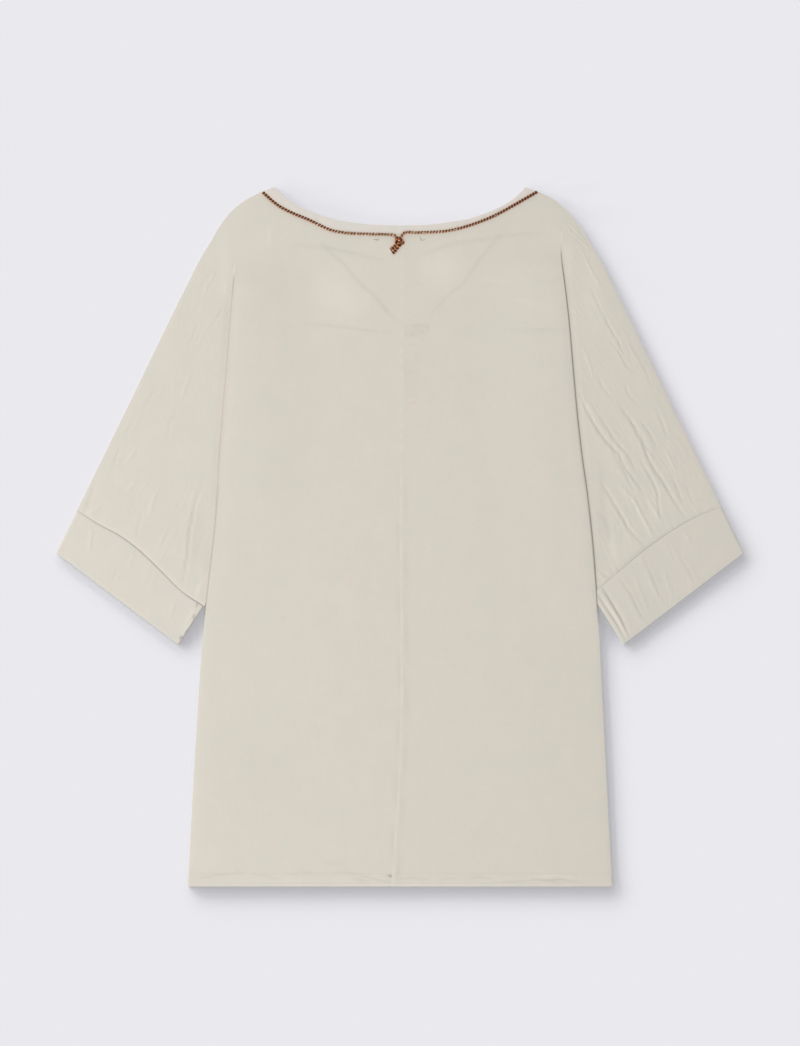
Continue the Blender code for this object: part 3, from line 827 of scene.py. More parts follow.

# %% [markdown]
# ## Creases
#
# Soft creases are what makes cloth look like cloth. Each one here is given as a line of points
# with a height and a width in millimetres: a ridge is above zero and a trough below. The height
# fades out toward both ends. All lines are summed over the sheet together with a few slow waves,
# and the sum is the lift of the loose cloth.

# %% Creases of the sleeves
# Each line is a height, a width and points (x, up from the hem), all in millimetres.
RIGHT_SLEEVE = (
    (-1.00, 1.7, ((209, 581), (217, 561), (229, 540), (240, 524), (256, 507), (265, 489), (279, 472),
                  (289, 456))),
    (-0.55, 1.6, ((228, 560), (243, 537), (254, 520), (270, 502), (277, 484))),
    (-0.60, 1.6, ((247, 512), (257, 497), (268, 478), (275, 462))),
    (-1.05, 1.8, ((256, 566), (272, 543), (285, 519), (294, 496), (309, 474), (322, 451), (336, 430))),
    (-0.70, 1.5, ((270, 545), (281, 533), (291, 512), (301, 500))),
    (-0.90, 1.7, ((236, 474), (246, 458), (259, 437), (268, 420), (281, 404), (291, 398))),
    (-0.55, 1.6, ((319, 480), (326, 465), (332, 449))),
    (-0.50, 1.5, ((245, 640), (255, 628), (266, 609), (279, 600))),
    (-0.50, 1.5, ((270, 637), (278, 624), (290, 601), (296, 584))),
    (-0.45, 1.5, ((237, 676), (248, 652), (258, 636), (262, 622))),
    (-0.60, 1.5, ((283, 544), (295, 527), (300, 517))),
    (-0.70, 1.5, ((280, 504), (291, 484), (301, 465), (306, 430))),
    (0.60, 1.5, ((291, 453), (299, 440), (308, 424))),
    (0.70, 1.8, ((256, 470), (273, 454), (284, 433), (298, 404))),
    (-0.60, 1.4, ((226, 379), (238, 366), (250, 357))),
    (-0.35, 3.5, ((229, 440), (243, 428), (248, 402))),
    (0.45, 1.6, ((231, 369), (243, 359), (231, 347))),
    (0.40, 1.7, ((208, 577), (222, 562), (235, 546))),
    (-0.45, 1.5, ((300, 560), (309, 541), (314, 525))),
    (0.35, 1.5, ((307, 517), (318, 497), (323, 484))),
    (-0.40, 1.4, ((230, 600), (239, 583), (250, 570))),
    (-0.40, 1.4, ((262, 590), (270, 575), (283, 562))),
    (0.35, 1.5, ((214, 632), (222, 612), (226, 596))),
    (-0.35, 1.4, ((224, 700), (233, 683), (238, 668))),
    (0.30, 1.6, ((210, 750), (219, 733), (225, 719), (239, 694))),
    (0.30, 1.8, ((200, 657), (208, 643))),
    (-0.35, 1.4, ((335, 470), (343, 452), (350, 440))),
    (0.60, 1.4, ((366, 457), (371, 448), (356, 440))),
    (0.35, 1.5, ((148, 709), (163, 704), (177, 700))),
    (-0.30, 1.4, ((160, 721), (176, 715))),
    (-0.25, 1.4, ((118, 734), (138, 729))),
    (0.25, 1.4, ((127, 712), (147, 710))),
    (0.30, 1.5, ((179, 769), (190, 767), (192, 756))),
)
LEFT_SLEEVE = (
    (-0.80, 1.7, ((-229, 479), (-240, 449), (-246, 417), (-249, 386), (-252, 364), (-257, 346))),
    (-0.45, 1.4, ((-199, 682), (-209, 673), (-220, 658))),
    (-0.45, 1.5, ((-328, 515), (-334, 499), (-338, 487))),
    (0.40, 1.5, ((-308, 515), (-316, 503), (-323, 495))),
    (-0.40, 1.5, ((-306, 562), (-314, 540), (-328, 526))),
    (-0.60, 2.2, ((-357, 481), (-363, 456), (-372, 432))),
    (0.45, 1.6, ((-350, 449), (-357, 441), (-365, 435))),
    (-0.40, 1.6, ((-303, 436), (-309, 408))),
    (0.35, 1.8, ((-310, 476), (-320, 462))),
    (0.35, 1.6, ((-282, 470), (-291, 449), (-294, 430))),
    (-0.30, 1.5, ((-262, 560), (-270, 541), (-273, 522))),
    (-0.30, 1.5, ((-285, 586), (-293, 570), (-302, 560))),
    (-0.30, 1.4, ((-236, 660), (-243, 643), (-249, 634))),
    (0.30, 1.6, ((-246, 600), (-253, 583), (-257, 566))),
    (-0.30, 1.5, ((-270, 420), (-277, 402), (-280, 388))),
    (0.45, 2.2, ((-226, 367), (-234, 352), (-239, 338))),
    (0.25, 1.8, ((-216, 723), (-226, 704), (-231, 690))),
)
print(len(RIGHT_SLEEVE + LEFT_SLEEVE), "creases on the sleeves")

# %% Creases of the body, the hem and the cuffs
FACING_LEFT = ((-116, 659), (-82, 657), (-52, 653), (-7, 648))
FACING_RIGHT = ((120, 652), (145, 651), (171, 652), (183, 652), (197, 650))
BODY = (
    (-0.30, 1.2, FACING_LEFT),
    (-0.30, 1.2, FACING_RIGHT),
    (0.30, 2.0, ((-149, 765), (-152, 742))),
    (0.30, 2.0, ((-156, 804), (-155, 785))),
)
HEM_LINE = (
    (-0.45, 1.2, ((-238, 8), (-216, 12.5), (-202, 13.5), (-190, 15.5), (-178, 14.5))),
    (-0.35, 1.1, ((-176, 15), (-160, 12), (-139, 7))),
    (-0.35, 1.2, ((-133, 12), (-117, 14.5), (-96, 17.5), (-80, 16.5))),
    (-0.45, 1.2, ((-84, 17), (-65, 16), (-45, 12.5))),
    (-0.55, 1.2, ((-48, 12), (-38, 10.5), (-26, 7), (-16, 5.5), (-4, 3))),
    (-0.45, 1.1, ((-57, 9), (-44, 6.5), (-33, 3))),
    (-0.30, 1.1, ((-130, 18.5), (-112, 17.5))),
    (-0.25, 1.2, ((-98, 25.5), (-60, 27))),
    (-0.45, 1.1, ((-2, 8.5), (18, 8.5), (37, 6.5))),
    (-0.35, 1.1, ((42, 6), (56, 8), (68, 7))),
    (-0.45, 1.1, ((78, 6), (87, 9), (96, 10.5), (110, 7.5))),
    (-0.50, 1.1, ((112, 3.5), (123, 5), (134, 4.5), (150, 6.5))),
    (-0.80, 1.1, ((146, 5), (158, 7), (174, 6.5), (190, 7.5), (203, 5), (215, 3))),
    (-0.60, 1.0, ((166, 7.5), (180, 5), (192, 3))),
    (0.35, 1.5, ((152, 10), (185, 12), (209, 9))),
    (-0.30, 1.2, ((182, 18.5), (207, 16.5))),
    (-0.50, 1.4, ((-8, 14), (-11, 9))),
)
RIGHT_CUFF = (
    (-0.70, 1.5, ((256, 362), (270, 343), (281, 320), (290, 308))),
    (0.45, 1.6, ((273, 368), (288, 329), (294, 315))),
    (-0.50, 1.5, ((285, 388), (297, 359), (305, 338))),
    (0.40, 1.6, ((290, 367), (308, 329))),
    (-0.45, 1.4, ((313, 404), (325, 378))),
    (0.35, 1.6, ((308, 377), (319, 336))),
    (-0.50, 1.4, ((326, 388), (338, 371), (345, 356))),
    (0.35, 1.6, ((330, 421), (343, 399))),
    (-0.50, 1.2, ((236, 350), (248, 331), (259, 312), (269, 291))),
    (-0.30, 1.0, ((231, 344), (243, 327), (255, 309), (264, 288))),
)
LEFT_CUFF = (
    (0.45, 1.7, ((-361, 420), (-365, 392))),
    (-0.40, 1.6, ((-330, 371), (-339, 352))),
    (0.40, 1.7, ((-263, 336), (-271, 312))),
    (-0.35, 1.6, ((-290, 372), (-296, 352), (-303, 338))),
    (0.30, 1.7, ((-312, 392), (-318, 370))),
    (-0.45, 1.2, ((-236, 326), (-246, 311), (-257, 295))),
)
print(len(HEM_LINE), "creases in the hem and", len(RIGHT_CUFF + LEFT_CUFF), "in the cuffs")

# %% From lines to heights
def uneven(spots):
    """The spots, each moved by about half a millimetre, so that lines run unevenly over them."""
    x, up = spots.T / MM
    across = 0.25 * np.sin(up / 3.1 + 2 * np.sin(x / 9.0)) + 0.4 * np.sin(up / 8.3 + x / 7.0)
    along = 0.3 * np.sin(x / 3.9 + 2 * np.sin(up / 8.0))
    return spots + np.stack([across, along], axis=1) * MM


def line_field(spots, lines, swell=0.0):
    """Sum of soft lines at spots (x, up) in metres; heights, widths and points in millimetres.

    With a swell, the cloth on both sides of a trough rises, four times as wide as the trough.
    """
    field = np.zeros(len(spots))
    for height, width, points in lines:
        corners = np.array(points, float) * MM
        width *= MM
        margin = 12 * width if swell else 3 * width
        near = (spots > corners.min(0) - margin) & (spots < corners.max(0) + margin)
        near = np.flatnonzero(near.all(1))
        lengths = np.hypot(*np.diff(corners, axis=0).T)
        starts = np.concatenate([[0.0], np.cumsum(lengths)])
        closest = np.full(len(near), np.inf)
        along = np.zeros(len(near))
        for first, last, length, start in zip(corners, corners[1:], lengths, starts):
            part = np.clip((spots[near] - first) @ (last - first) / length ** 2, 0, 1)
            distance = np.hypot(*(spots[near] - first - part[:, None] * (last - first)).T)
            closer = distance < closest
            closest[closer] = distance[closer]
            along[closer] = (start + part * length)[closer]
        taper = np.sin(np.pi * np.clip(along / starts[-1], 0, 1)) ** 0.6
        if swell:
            taper *= 0.8 + 0.2 * np.sin(along / (2.3 * MM) + height * 40)
        profile = np.exp(-(closest / width) ** 2)
        if height < 0:
            profile -= swell * np.exp(-(closest / (4 * width)) ** 2)
        field[near] += height * taper * profile
    return field


Wave = namedtuple("Wave", "length direction start")
WAVES = (
    Wave(0.190, 0.3, 1.0), Wave(0.130, 1.9, 0.4), Wave(0.083, 0.9, 2.2), Wave(0.061, 2.6, 5.0),
    Wave(0.047, 0.1, 3.7),
)


def slow_waves(spots, size):
    """A few long waves in different directions, which lift cloth off the layer below."""
    x, up = spots.T
    waves = np.zeros(len(spots))
    for wave in WAVES:
        along = x * cos(wave.direction) + up * sin(wave.direction)
        share = wave.length / WAVES[0].length
        waves += np.sin(2 * pi * along / wave.length + wave.start) * share
    return waves * size


print("slow waves from", WAVES[-1].length, "to", WAVES[0].length, "m")

# %% Lift of the back and of its hem
def back_loft(spots):
    """Lift of the back's loose cloth, in metres."""
    lift = 0.30 + slow_waves(spots, 0.09)
    lift += 1.25 * line_field(uneven(spots), RIGHT_SLEEVE + LEFT_SLEEVE + BODY, swell=0.4)
    return np.clip(lift, -0.15, 2.2) * MM


def hem_relief(spots):
    """Height of the turned-up hem with its line of stitches and its small puckers, in metres."""
    x, up = spots.T
    depth = up / MM
    turned = 0.25 / (1 + np.exp((depth - HEM / MM + 0.8 * np.sin(x * 57)) * 1.6))
    ditch = -0.07 * np.exp(-((depth - HEM / MM - 0.3) / 0.9) ** 2)
    wobble = np.sin(x * 410 + 3 * np.sin(x * 97)) + 0.6 * np.sin(x * 930 + 2 * np.sin(x * 61))
    pucker = 0.07 * wobble * np.exp(-((depth - HEM / MM) / 5) ** 2)
    return (turned + ditch + pucker + line_field(spots, HEM_LINE)) * MM


print(len(RIGHT_SLEEVE + LEFT_SLEEVE + BODY), "creases on the back")

# %% [markdown]
# ## Tones that show through, and painted light and shade
#
# The cloth is thin enough for other layers to show: the front's V neckline, a facing sewn inside
# the back of the neck, and a short placket with its stitched end. They are drawn in the same way
# as the creases, as soft lines, and stored on the mesh as a tone. Painted highlights and painted
# shade along creases, folds and the hem go into the same tone. Nothing is modelled twice.

# %% What shows through, and light and shade
# Each line is a tone, and a width and points in millimetres as before.
SHOWING_THROUGH = (
    (-0.075, 2.4, ((-95, 757), (-88, 749), (-64, 727), (-52, 711), (-26, 688), (-17, 675), (4, 658))),
    (-0.060, 2.4, ((135, 787), (130, 781), (113, 758), (93, 734), (74, 707), (54, 690), (30, 662))),
    (-0.065, 2.2, ((-129, 752), (-102, 749), (-88, 749), (-61, 743), (-30, 736), (-16, 733))),
    (-0.065, 2.4, ((15, 733), (35, 744), (60, 752), (83, 756), (110, 760), (142, 764), (173, 764))),
    (-0.050, 2.0, ((-20, 683), (-17, 676), (-16, 670))),
    (-0.045, 6.5, ((8, 651), (30, 651))),
    (-0.080, 1.6, ((12, 657), (24, 657), (36, 656))),
    (-0.070, 1.6, ((33, 658), (33, 648))),
    (-0.090, 1.8, ((12, 646), (18, 645))),
    (-0.070, 1.6, ((24, 649), (29, 648))),
    (-0.090, 1.5, ((4, 657), (9, 655))),
    (-0.060, 1.5, ((6, 652), (7, 644))),
    (-0.040, 1.5, ((46, 673), (50, 670))),
    (-0.026, 6.0, ((13, 632), (13, 568))),
    (-0.040, 1.5, ((6, 634), (7, 566))),
    (-0.032, 1.5, ((20, 634), (20, 566))),
    (-0.045, 1.5, ((7, 634), (20, 634))),
    (-0.060, 1.5, ((8, 565), (20, 566))),
    (-0.050, 1.6, ((10, 604), (15, 601))),
    (-0.050, 1.6, ((13, 575), (19, 572))),
    (0.056, 25.0, ((-98, 722), (-82, 702), (-60, 682), (-44, 668))),
    (0.054, 23.0, ((20, 728), (52, 722), (34, 698))),
    (0.022, 12.0, ((-26, 757), (0, 748), (26, 757))),
    (-0.018, 24.0, ((-150, 760), (-140, 700), (-138, 640))),
)
LIGHT_AND_SHADE = (
    (-0.085, 1.2, FACING_LEFT),
    (-0.060, 1.2, FACING_RIGHT),
    (0.035, 1.6, ((92, 712), (120, 709), (134, 703))),
    (0.040, 1.8, ((130, 690), (152, 684), (166, 680))),
    (-0.035, 1.6, ((96, 706), (112, 704))),
    (0.035, 2.2, ((-153, 776), (-154, 748))),
    (-0.050, 1.4, ((-38, 762), (-24, 763))),
    (0.045, 7.0, ((-207, 768), (-206, 730), (-204, 684))),
    (-0.060, 1.2, ((-194.2, 738), (-194.9, 720))),
    (-0.120, 0.8, ((-194.9, 718), (-195.3, 704), (-196.0, 688))),
    (0.030, 14.0, ((214, 730), (223, 687), (232, 645))),
    (0.035, 4.0, ((196, 756), (197, 738), (200, 712))),
    (0.050, 3.0, ((-226, 367), (-238, 337))),
    (-0.050, 4.0, ((235, 500), (239, 402))),
    (0.060, 3.0, ((247, 412), (252, 382))),
    (-0.030, 12.0, ((-236, 440), (-242, 400), (-244, 372))),
    (-0.500, 1.3, ((-12, 11), (-10, 12))),
    (-0.500, 1.2, ((226.6, 18.4), (227.6, 17.8))),
    (0.025, 4.0, ((-240, 5), (-120, 6), (0, 3), (120, 5), (240, 5))),
    (0.080, 1.0, ((-246, 0.4), (-120, 0.4), (0, 0.4), (120, 0.4), (246, 0.4))),
    (-0.050, 0.8, ((-246, 3.2), (-120, 3.0), (0, 3.2), (120, 3.0), (246, 3.2))),
    (-0.018, 50.0, ((-164, 200), (-164, 60))),
)
print(len(SHOWING_THROUGH), "soft lines show through the back")

# %% From the body to the sleeve
def smooth(t):
    """The same soft step as ease, for whole arrays."""
    t = np.clip(t, 0, 1)
    return t * t * (3 - 2 * t)


def along_up(curve, up):
    """Values of a curve for a whole array of heights, from a table of 200 of them."""
    heights = np.linspace(0.0, LENGTH, 200)
    return np.interp(up, heights, [curve(height) for height in heights])


def sleeve_share(spots):
    """1 on the sleeves and 0 on the body."""
    x, up = spots.T
    beside = np.abs(x) - along_up(side_at, up)
    return smooth((beside + 6 * MM) / (14 * MM)) * smooth((up - 0.25) / 0.03)


print("sleeve share at the two cuffs", sleeve_share(np.array(((-0.3, 0.4), (0.3, 0.4)))))

# %% [markdown]
# ## Sheets from grids
#
# Every sheet starts as a flat grid from one bmesh operator. Its points are then moved to the
# places that the sections give. Neighbouring grids share their border points, so merging doubles
# sews them into one sheet. The creases are added as a lift, and a Solidify modifier gives the
# sheet its wall.

# %% From the pattern into the model
SWAY_STARTS = 0.040        # how far from the centre the body begins to lie askew,
SWAY_RISE = 0.100          # the width over which it does so fully
SWAY_FADE = 0.030          # and the width beside its edge over which that ends
SEAM_FADE = 0.120          # how far from the centre the drift of the seam has faded out
HEM_HANGS = 0.060          # how far above the hem the cloth begins to be stretched


def in_model(across, up, height):
    """Turn a place on the pattern into a point of the model, whose middle is half way up."""
    return Vector((across, up - LENGTH / 2, height))


def swayed(side, across, up):
    """The place across, with the body's edge moved where the body lies askew."""
    share = ease((across - SWAY_STARTS) / SWAY_RISE)
    share *= 1 - ease((across - side_at(up)) / SWAY_FADE)
    return side * across + sways[side](up) * share


def panel_place(side, drifts):
    """Return the function that puts a point of half a panel into the model."""
    def place(across, up, height):
        stretched = HEM_OUT * (1 - ease(up / HEM_HANGS))
        drift = centre_at(up) * (1 - ease(across / SEAM_FADE)) if drifts else 0.0
        return in_model(swayed(side, across, up) + drift, up - stretched, height)

    return place


print("the middle of the hem lies at", panel_place(RIGHT, True)(0.0, 0.0, 0.0))

# %% Laying a sheet
def new_bmesh(*layers):
    """Start a bmesh whose points keep a number under each of these names."""
    bm = bmesh.new()
    for layer in layers:
        bm.verts.layers.float.new(layer)
    return bm


def lay_grid(bm, sections, place):
    """Add a grid whose points are moved to the sections' places; keep how loose each point is."""
    loose = bm.verts.layers.float["loose"]
    rows, columns = len(sections) - 1, len(sections[0]) - 1
    grid = bmesh.ops.create_grid(bm, x_segments=columns, y_segments=rows, size=1.0)
    for vert in grid["verts"]:
        column = round((vert.co.x + 1) / 2 * columns)
        row = round((vert.co.y + 1) / 2 * rows)
        across, up, height, freedom = sections[row][column]
        vert.co = place(across, up, height)
        vert[loose] = freedom


def sheet_object(name, bm, wall, material, lift=None, tone=None):
    """Merge the grids, add the lift, store tone and sleeve on the points, and give it a wall."""
    bmesh.ops.remove_doubles(bm, verts=bm.verts, dist=0.01 * MM)
    bmesh.ops.recalc_face_normals(bm, faces=bm.faces)
    for edge in bm.edges:
        edge.smooth = not edge.is_boundary
    piece = add_piece(name, bm, material)
    mesh = piece.data
    count = len(mesh.vertices)
    places = np.empty(count * 3)
    mesh.vertices.foreach_get("co", places)
    places = places.reshape(-1, 3)
    loose = np.empty(count)
    mesh.attributes["loose"].data.foreach_get("value", loose)
    spots = places[:, :2] + (0.0, LENGTH / 2)
    if lift:
        places[:, 2] += lift(spots, loose)
        mesh.vertices.foreach_set("co", places.ravel())
    tones = tone(spots) if tone else np.zeros(count)
    for label, values in (("tone", tones), ("sleeve", sleeve_share(spots))):
        mesh.attributes.new(label, "FLOAT", "POINT").data.foreach_set("value", values)
    mesh.update()
    solidify = piece.modifiers.new("wall", "SOLIDIFY")
    solidify.thickness = wall
    solidify.offset = 0.0
    return piece


def lay_half_panel(bm, side, ply, seam, net, place):
    """Add half a panel: the body with half a bend, the tucked cloth, and the sleeve."""
    body, sleeve, upper = half_panel_sections(side, ply, seam, net)
    crown = sum(net.body) + net.half_bend
    second_crown = crown + 2 * net.half_bend + 1
    lay_grid(bm, body + [section[:crown + 1] for section in upper], place)
    lay_grid(bm, [section[crown:second_crown + 1] for section in upper], place)
    lay_grid(bm, sleeve + [section[second_crown:] for section in upper], place)

# %% [markdown]
# ## The two backs
#
# The centre back seam isn't quite straight as the garment lies: it drifts to the left near the
# hem. Both backs are moved by the same curve, so they still meet. The seam itself is a fine ditch
# at the top and stands up as a fine ridge lower down.

# %% How the back is lifted
def back_lift(spots, loose):
    """Lift of the back: its loose cloth, its centre seam and its hem."""
    x, up = spots.T
    from_centre = np.abs(x - along_up(centre_at, up)) / MM
    relief = np.interp(up, (0.0, 0.30, 0.48, 0.80), (0.10, 0.12, 0.05, -0.04))
    relief = relief * (1 + 0.5 * np.sin(up * 310 + 2 * np.sin(up * 87)))
    seam = relief * np.exp(-(from_centre / 1.5) ** 2) + 0.08 / (1 + np.exp((from_centre - 6) * 0.9))
    lift = loose * back_loft(spots) + seam * MM + hem_relief(spots)
    return np.maximum(lift, -0.15 * MM)


print("the centre seam drifts", round(-centre_at(0.0) / MM, 1), "mm to the left at the hem")

# %% How the back is toned
SEAM_SHADE = {LEFT: -0.46, RIGHT: -0.22}       # tone of the cuffs' seams
FOLD_SHADE = {LEFT: 0.22, RIGHT: 0.48}         # tone of the edges where the pleats turn under


def seam_shade(side):
    """The dark line along a cuff's seam, as a line of points."""
    cuff, bow = CUFFS[side], cuff_bows[side]
    parts = np.linspace(-0.04, 1.04, 28)
    points = [cuff.seam_inner.lerp(cuff.seam_outer, part) + Vector((0.0, bow(part))) for part in parts]
    return SEAM_SHADE[side], 0.6, [(side * x / MM, up / MM) for x, up in points]


def fold_tone(x, up):
    """Shade along the body's edges: a fine dark line, and a soft one beside it."""
    sway = np.where(x < 0, along_up(sways[LEFT], up), along_up(sways[RIGHT], up))
    from_fold = (np.abs(x - sway) - along_up(side_at, up)) / MM
    left = FOLD_SHADE[LEFT] * smooth((0.726 - up) / 0.014)
    right = FOLD_SHADE[RIGHT] * smooth((0.750 - up) / 0.035)
    right = right * (1 + 0.3 * smooth((0.48 - up) / 0.06))
    tone = np.where(x < 0, left, right) * np.exp(-((from_fold + 0.3) / 0.85) ** 2)
    soft = np.exp(-((from_fold + 0.5) / 5.0) ** 2) * smooth((0.745 - up) / 0.03)
    tone += 0.020 * soft * np.where(from_fold < 0, 4 / 3, 1.0) * np.where(x < 0, 0.8, 1.0)
    outside = smooth(from_fold) * smooth((16 - from_fold) / 10) * (x > 0)
    tone += 0.025 * outside * smooth((0.52 - up) / 0.10)
    return -tone * smooth((up - 0.30) / 0.03)


def centre_tone(x, up):
    """The broken painted highlight along the centre back seam, and two lines of painted shade beside
    it.
    """
    from_centre = (x - along_up(centre_at, up)) / MM
    broken = np.clip(0.5 + np.sin(up * 290 + 3 * np.sin(up * 71)), 0, 1.5)
    tone = 0.035 * broken * np.exp(-((from_centre + 0.6) / 1.2) ** 2)
    pair = np.exp(-((np.abs(from_centre) - 4.2) / 1.5) ** 2) * smooth((0.52 - up) / 0.08)
    return tone - 0.045 * np.clip(0.7 + 0.6 * np.sin(up * 83 + x * 300), 0, 1.2) * pair


def back_tone(spots):
    """What shows through the back, and painted shade and highlights at its folds, seams, creases and
    hem.
    """
    x, up = spots.T
    tone = fold_tone(x, up) + centre_tone(x, up)
    # Painted shade and painted highlights along the creases of the hem and the sleeves: darker in
    # their troughs, lighter on their ridges.
    tone += 0.15 * line_field(uneven(spots), HEM_LINE)
    tone += 0.06 * line_field(uneven(spots), RIGHT_SLEEVE + LEFT_SLEEVE)
    tone += line_field(spots, (seam_shade(LEFT), seam_shade(RIGHT)))
    return tone + line_field(spots, SHOWING_THROUGH + LIGHT_AND_SHADE)


print("tone on the right edge", fold_tone(np.array((side_at(0.4),)), np.array((0.4,))))

# %% The two backs
backs = {}
for name, side, material in (("left_back_sheet", LEFT, left_cotton),
                             ("right_back_sheet", RIGHT, right_cotton)):
    bm = new_bmesh("loose")
    place = panel_place(side, True)
    lay_half_panel(bm, side, BACK_PLY, back_seams[side], BACK_NETS[side], place)
    backs[side] = sheet_object(name, bm, WALL, material, back_lift, back_tone)

# %% [markdown]
# ## The front
#
# The front lies underneath and only its wrong way up could ever be seen. It is one piece, open in
# a V at the neck, and lies quite flat on the floor, with slight waves only.

# %% The front
def front_lift(spots, loose):
    """Slight waves, turned across those of the back."""
    return loose * np.clip(0.04 + slow_waves(spots[:, ::-1], 0.04), 0.0, 0.12) * MM


bm = new_bmesh("loose")
for side in (LEFT, RIGHT):
    lay_half_panel(bm, side, FRONT_PLY, front_seam, FRONT_NET, panel_place(side, False))
front_sheet = sheet_object("front_sheet", bm, WALL, front_cotton, front_lift)

# %% [markdown]
# ## The neckband
#
# The band is one narrow strip for the back and one for the front, cut double and pressed flat. It
# is slightly fuller in the middle than at its edges, and ripples a little along its length.

# %% The neckband
BAND_WALL = 0.6 * MM
BAND_STATIONS = 130
BAND_ROWS = 8


def band_sections(side, seam, edge, height):
    """Sections of half a neckband, each from the seam to the free edge."""
    sections = []
    for across in spread((0.0, CORNER), (BAND_STATIONS,)):
        low = Vector((across, seam(across) + seam_offset(seam, across)))
        edge_across = across * BACK_EDGE[-1][0] / CORNER
        high = Vector((edge_across, edge(edge_across)))
        section = []
        for part in spread((0.0, 1.0), (BAND_ROWS,)):
            spot = low.lerp(high, part)
            section.append((side * spot.x, spot.y, height, sin(pi * part)))
        sections.append(section)
    return sections


def band_lift(spots, loose):
    """Fuller in the middle, with a ripple along the band."""
    x = spots[:, 0]
    ripple = 0.12 * np.sin(x * 230 + 2 * np.sin(x * 61)) + 0.05 * np.sin(x * 610)
    return loose * (0.22 + ripple) * MM


bands = {}
for name, seams, edge, wall, height in (
    ("back_band", back_seams, back_edge, BAND_WALL, FIRST + LAYER + 0.05 * MM),
    ("front_band", {LEFT: front_seam, RIGHT: front_seam}, front_edge, WALL, FIRST),
):
    left, right = (band_sections(side, seams[side], edge, height) for side in (LEFT, RIGHT))
    bm = new_bmesh("loose")
    lay_grid(bm, left[:0:-1] + right, in_model)
    lift = band_lift if name == "back_band" else None
    bands[name] = sheet_object(name, bm, wall, band_cotton, lift)

# %% [markdown]
# ## The cuffs
#
# Each cuff is a deep band round the end of a sleeve, double and pressed flat, so it is a flat
# tube: along the lower layer, round the edge and back along the upper one. Its seam to the sleeve
# bows, and its upper layer carries short creases of its own.

# %% Rings of a cuff
CUFF_WALL = 0.45 * MM
CUFF_ROWS = 44
CUFF_LOW = 0.28 * MM       # height of the middle of the lower layer
CUFF_HIGH = 0.82 * MM      # and of the upper layer
CUFF_BEND = (CUFF_HIGH - CUFF_LOW) / 2
CUFF_DEEP = 0.050          # about how far a cuff reaches from its seam to its hem
LOWER_COLUMNS = 46
FINE_FROM = 0.13           # the upper layer has finer columns beside the inner edge
UPPER_COLUMNS = (88, 34)


def cuff_ring(inner, outer, bow, share):
    """One ring of a cuff. The share is how much of the seam's bow the ring has."""
    along = (outer - inner).normalized()
    span = (outer - inner).length
    reach = (CUFF_BEND + CUFF_WALL / 2) / span
    from_seam, from_hem = (1 - share) * CUFF_DEEP, share * CUFF_DEEP
    ends = held_at(from_seam, 2 * MM) * held_at(from_hem, 3 * MM)
    top = CUFF_HIGH - 0.05 * MM * (1 - ease(from_seam / (2 * MM)))

    def spot(part):
        return inner.lerp(outer, part) + Vector((0.0, bow(part) * share))

    def bend(part, outward, angles):
        """Add three points round an edge of the cuff."""
        for angle in angles:
            out = along * CUFF_BEND * cos(angle) * outward
            ring.append((*(spot(part) + out), CUFF_LOW + CUFF_BEND * (1 + sin(angle)), 0.0))

    ring = [(*spot(part), CUFF_LOW, 0.0) for part in spread((reach, 1 - reach), (LOWER_COLUMNS,))]
    bend(1 - reach, 1, (-pi / 4, 0.0, pi / 4))
    for part in spread((1 - reach, FINE_FROM, reach), UPPER_COLUMNS):
        from_end = min(part, 1 - part) * span
        ring.append((*spot(part), top, held_at(from_end, 2.5 * MM) * ends))
    bend(reach, -1, (pi / 4, 0.0, -pi / 4))
    return ring + [ring[0]]


def cuff_rings(side):
    """All rings of a cuff, from its seam to its hem."""
    cuff = CUFFS[side]
    away = (cuff.hem_inner - cuff.seam_inner).normalized() * SEAM_GAP / 2
    rings = []
    for part in spread((0.0, 0.06, 0.94, 1.0), (4, CUFF_ROWS - 7, 3)):
        inner = (cuff.seam_inner + away).lerp(cuff.hem_inner, part)
        outer = (cuff.seam_outer + away).lerp(cuff.hem_outer, part)
        rings.append(cuff_ring(inner, outer, cuff_bows[side], 1 - part))
    return rings


print("a cuff has", len(cuff_rings(LEFT)), "rings")

# %% The two cuffs
# Painted shade and painted highlights on the cuffs: dark and light lines along the inner edge, and
# dark lines along some creases.
RIGHT_CUFF_TONES = (
    (-0.40, 0.9, ((235, 352), (247, 333), (259, 313), (269, 291))),
    (-0.28, 0.8, ((229, 345), (240, 327), (252, 309), (264, 288))),
    (0.11, 1.5, ((232, 346), (244, 328), (256, 310), (267, 290))),
    (0.08, 1.8, ((240, 352), (252, 333), (263, 314), (272, 294))),
    (-0.10, 1.3, RIGHT_CUFF[0][2]),
    (-0.07, 1.3, RIGHT_CUFF[2][2]),
    (-0.05, 1.3, RIGHT_CUFF[6][2]),
)
LEFT_CUFF_TONES = (
    (-0.30, 1.2, ((-237, 333), (-239, 326))),
    (-0.30, 1.2, ((-241, 319), (-243, 312))),
    (-0.26, 1.2, ((-248, 301), (-252, 296))),
    (-0.40, 1.4, ((-255, 293), (-259, 289))),
    (0.08, 2.2, ((-240, 327), (-249, 309), (-258, 294))),
)


def cuff_lift(creases):
    """Return the lift of a cuff's upper layer with these creases."""
    def lift(spots, loose):
        waves = 0.22 + slow_waves(spots * 1.7, 0.07)
        return loose * np.clip(waves + line_field(spots, creases, swell=0.8), -0.1, 1.8) * MM

    return lift


cuffs = {}
for name, side, material, creases, tones in (
    ("left_cuff_band", LEFT, left_cuff_cotton, LEFT_CUFF, LEFT_CUFF_TONES),
    ("right_cuff_band", RIGHT, right_cuff_cotton, RIGHT_CUFF, RIGHT_CUFF_TONES),
):
    def cuff_place(across, up, height, side=side):
        return in_model(side * across, up, height)

    def cuff_tone(spots, tones=tones + (seam_shade(side),)):
        return line_field(spots, tones)

    bm = new_bmesh("loose")
    lay_grid(bm, cuff_rings(side), cuff_place)
    cuffs[side] = sheet_object(name, bm, CUFF_WALL, material, cuff_lift(creases), cuff_tone)
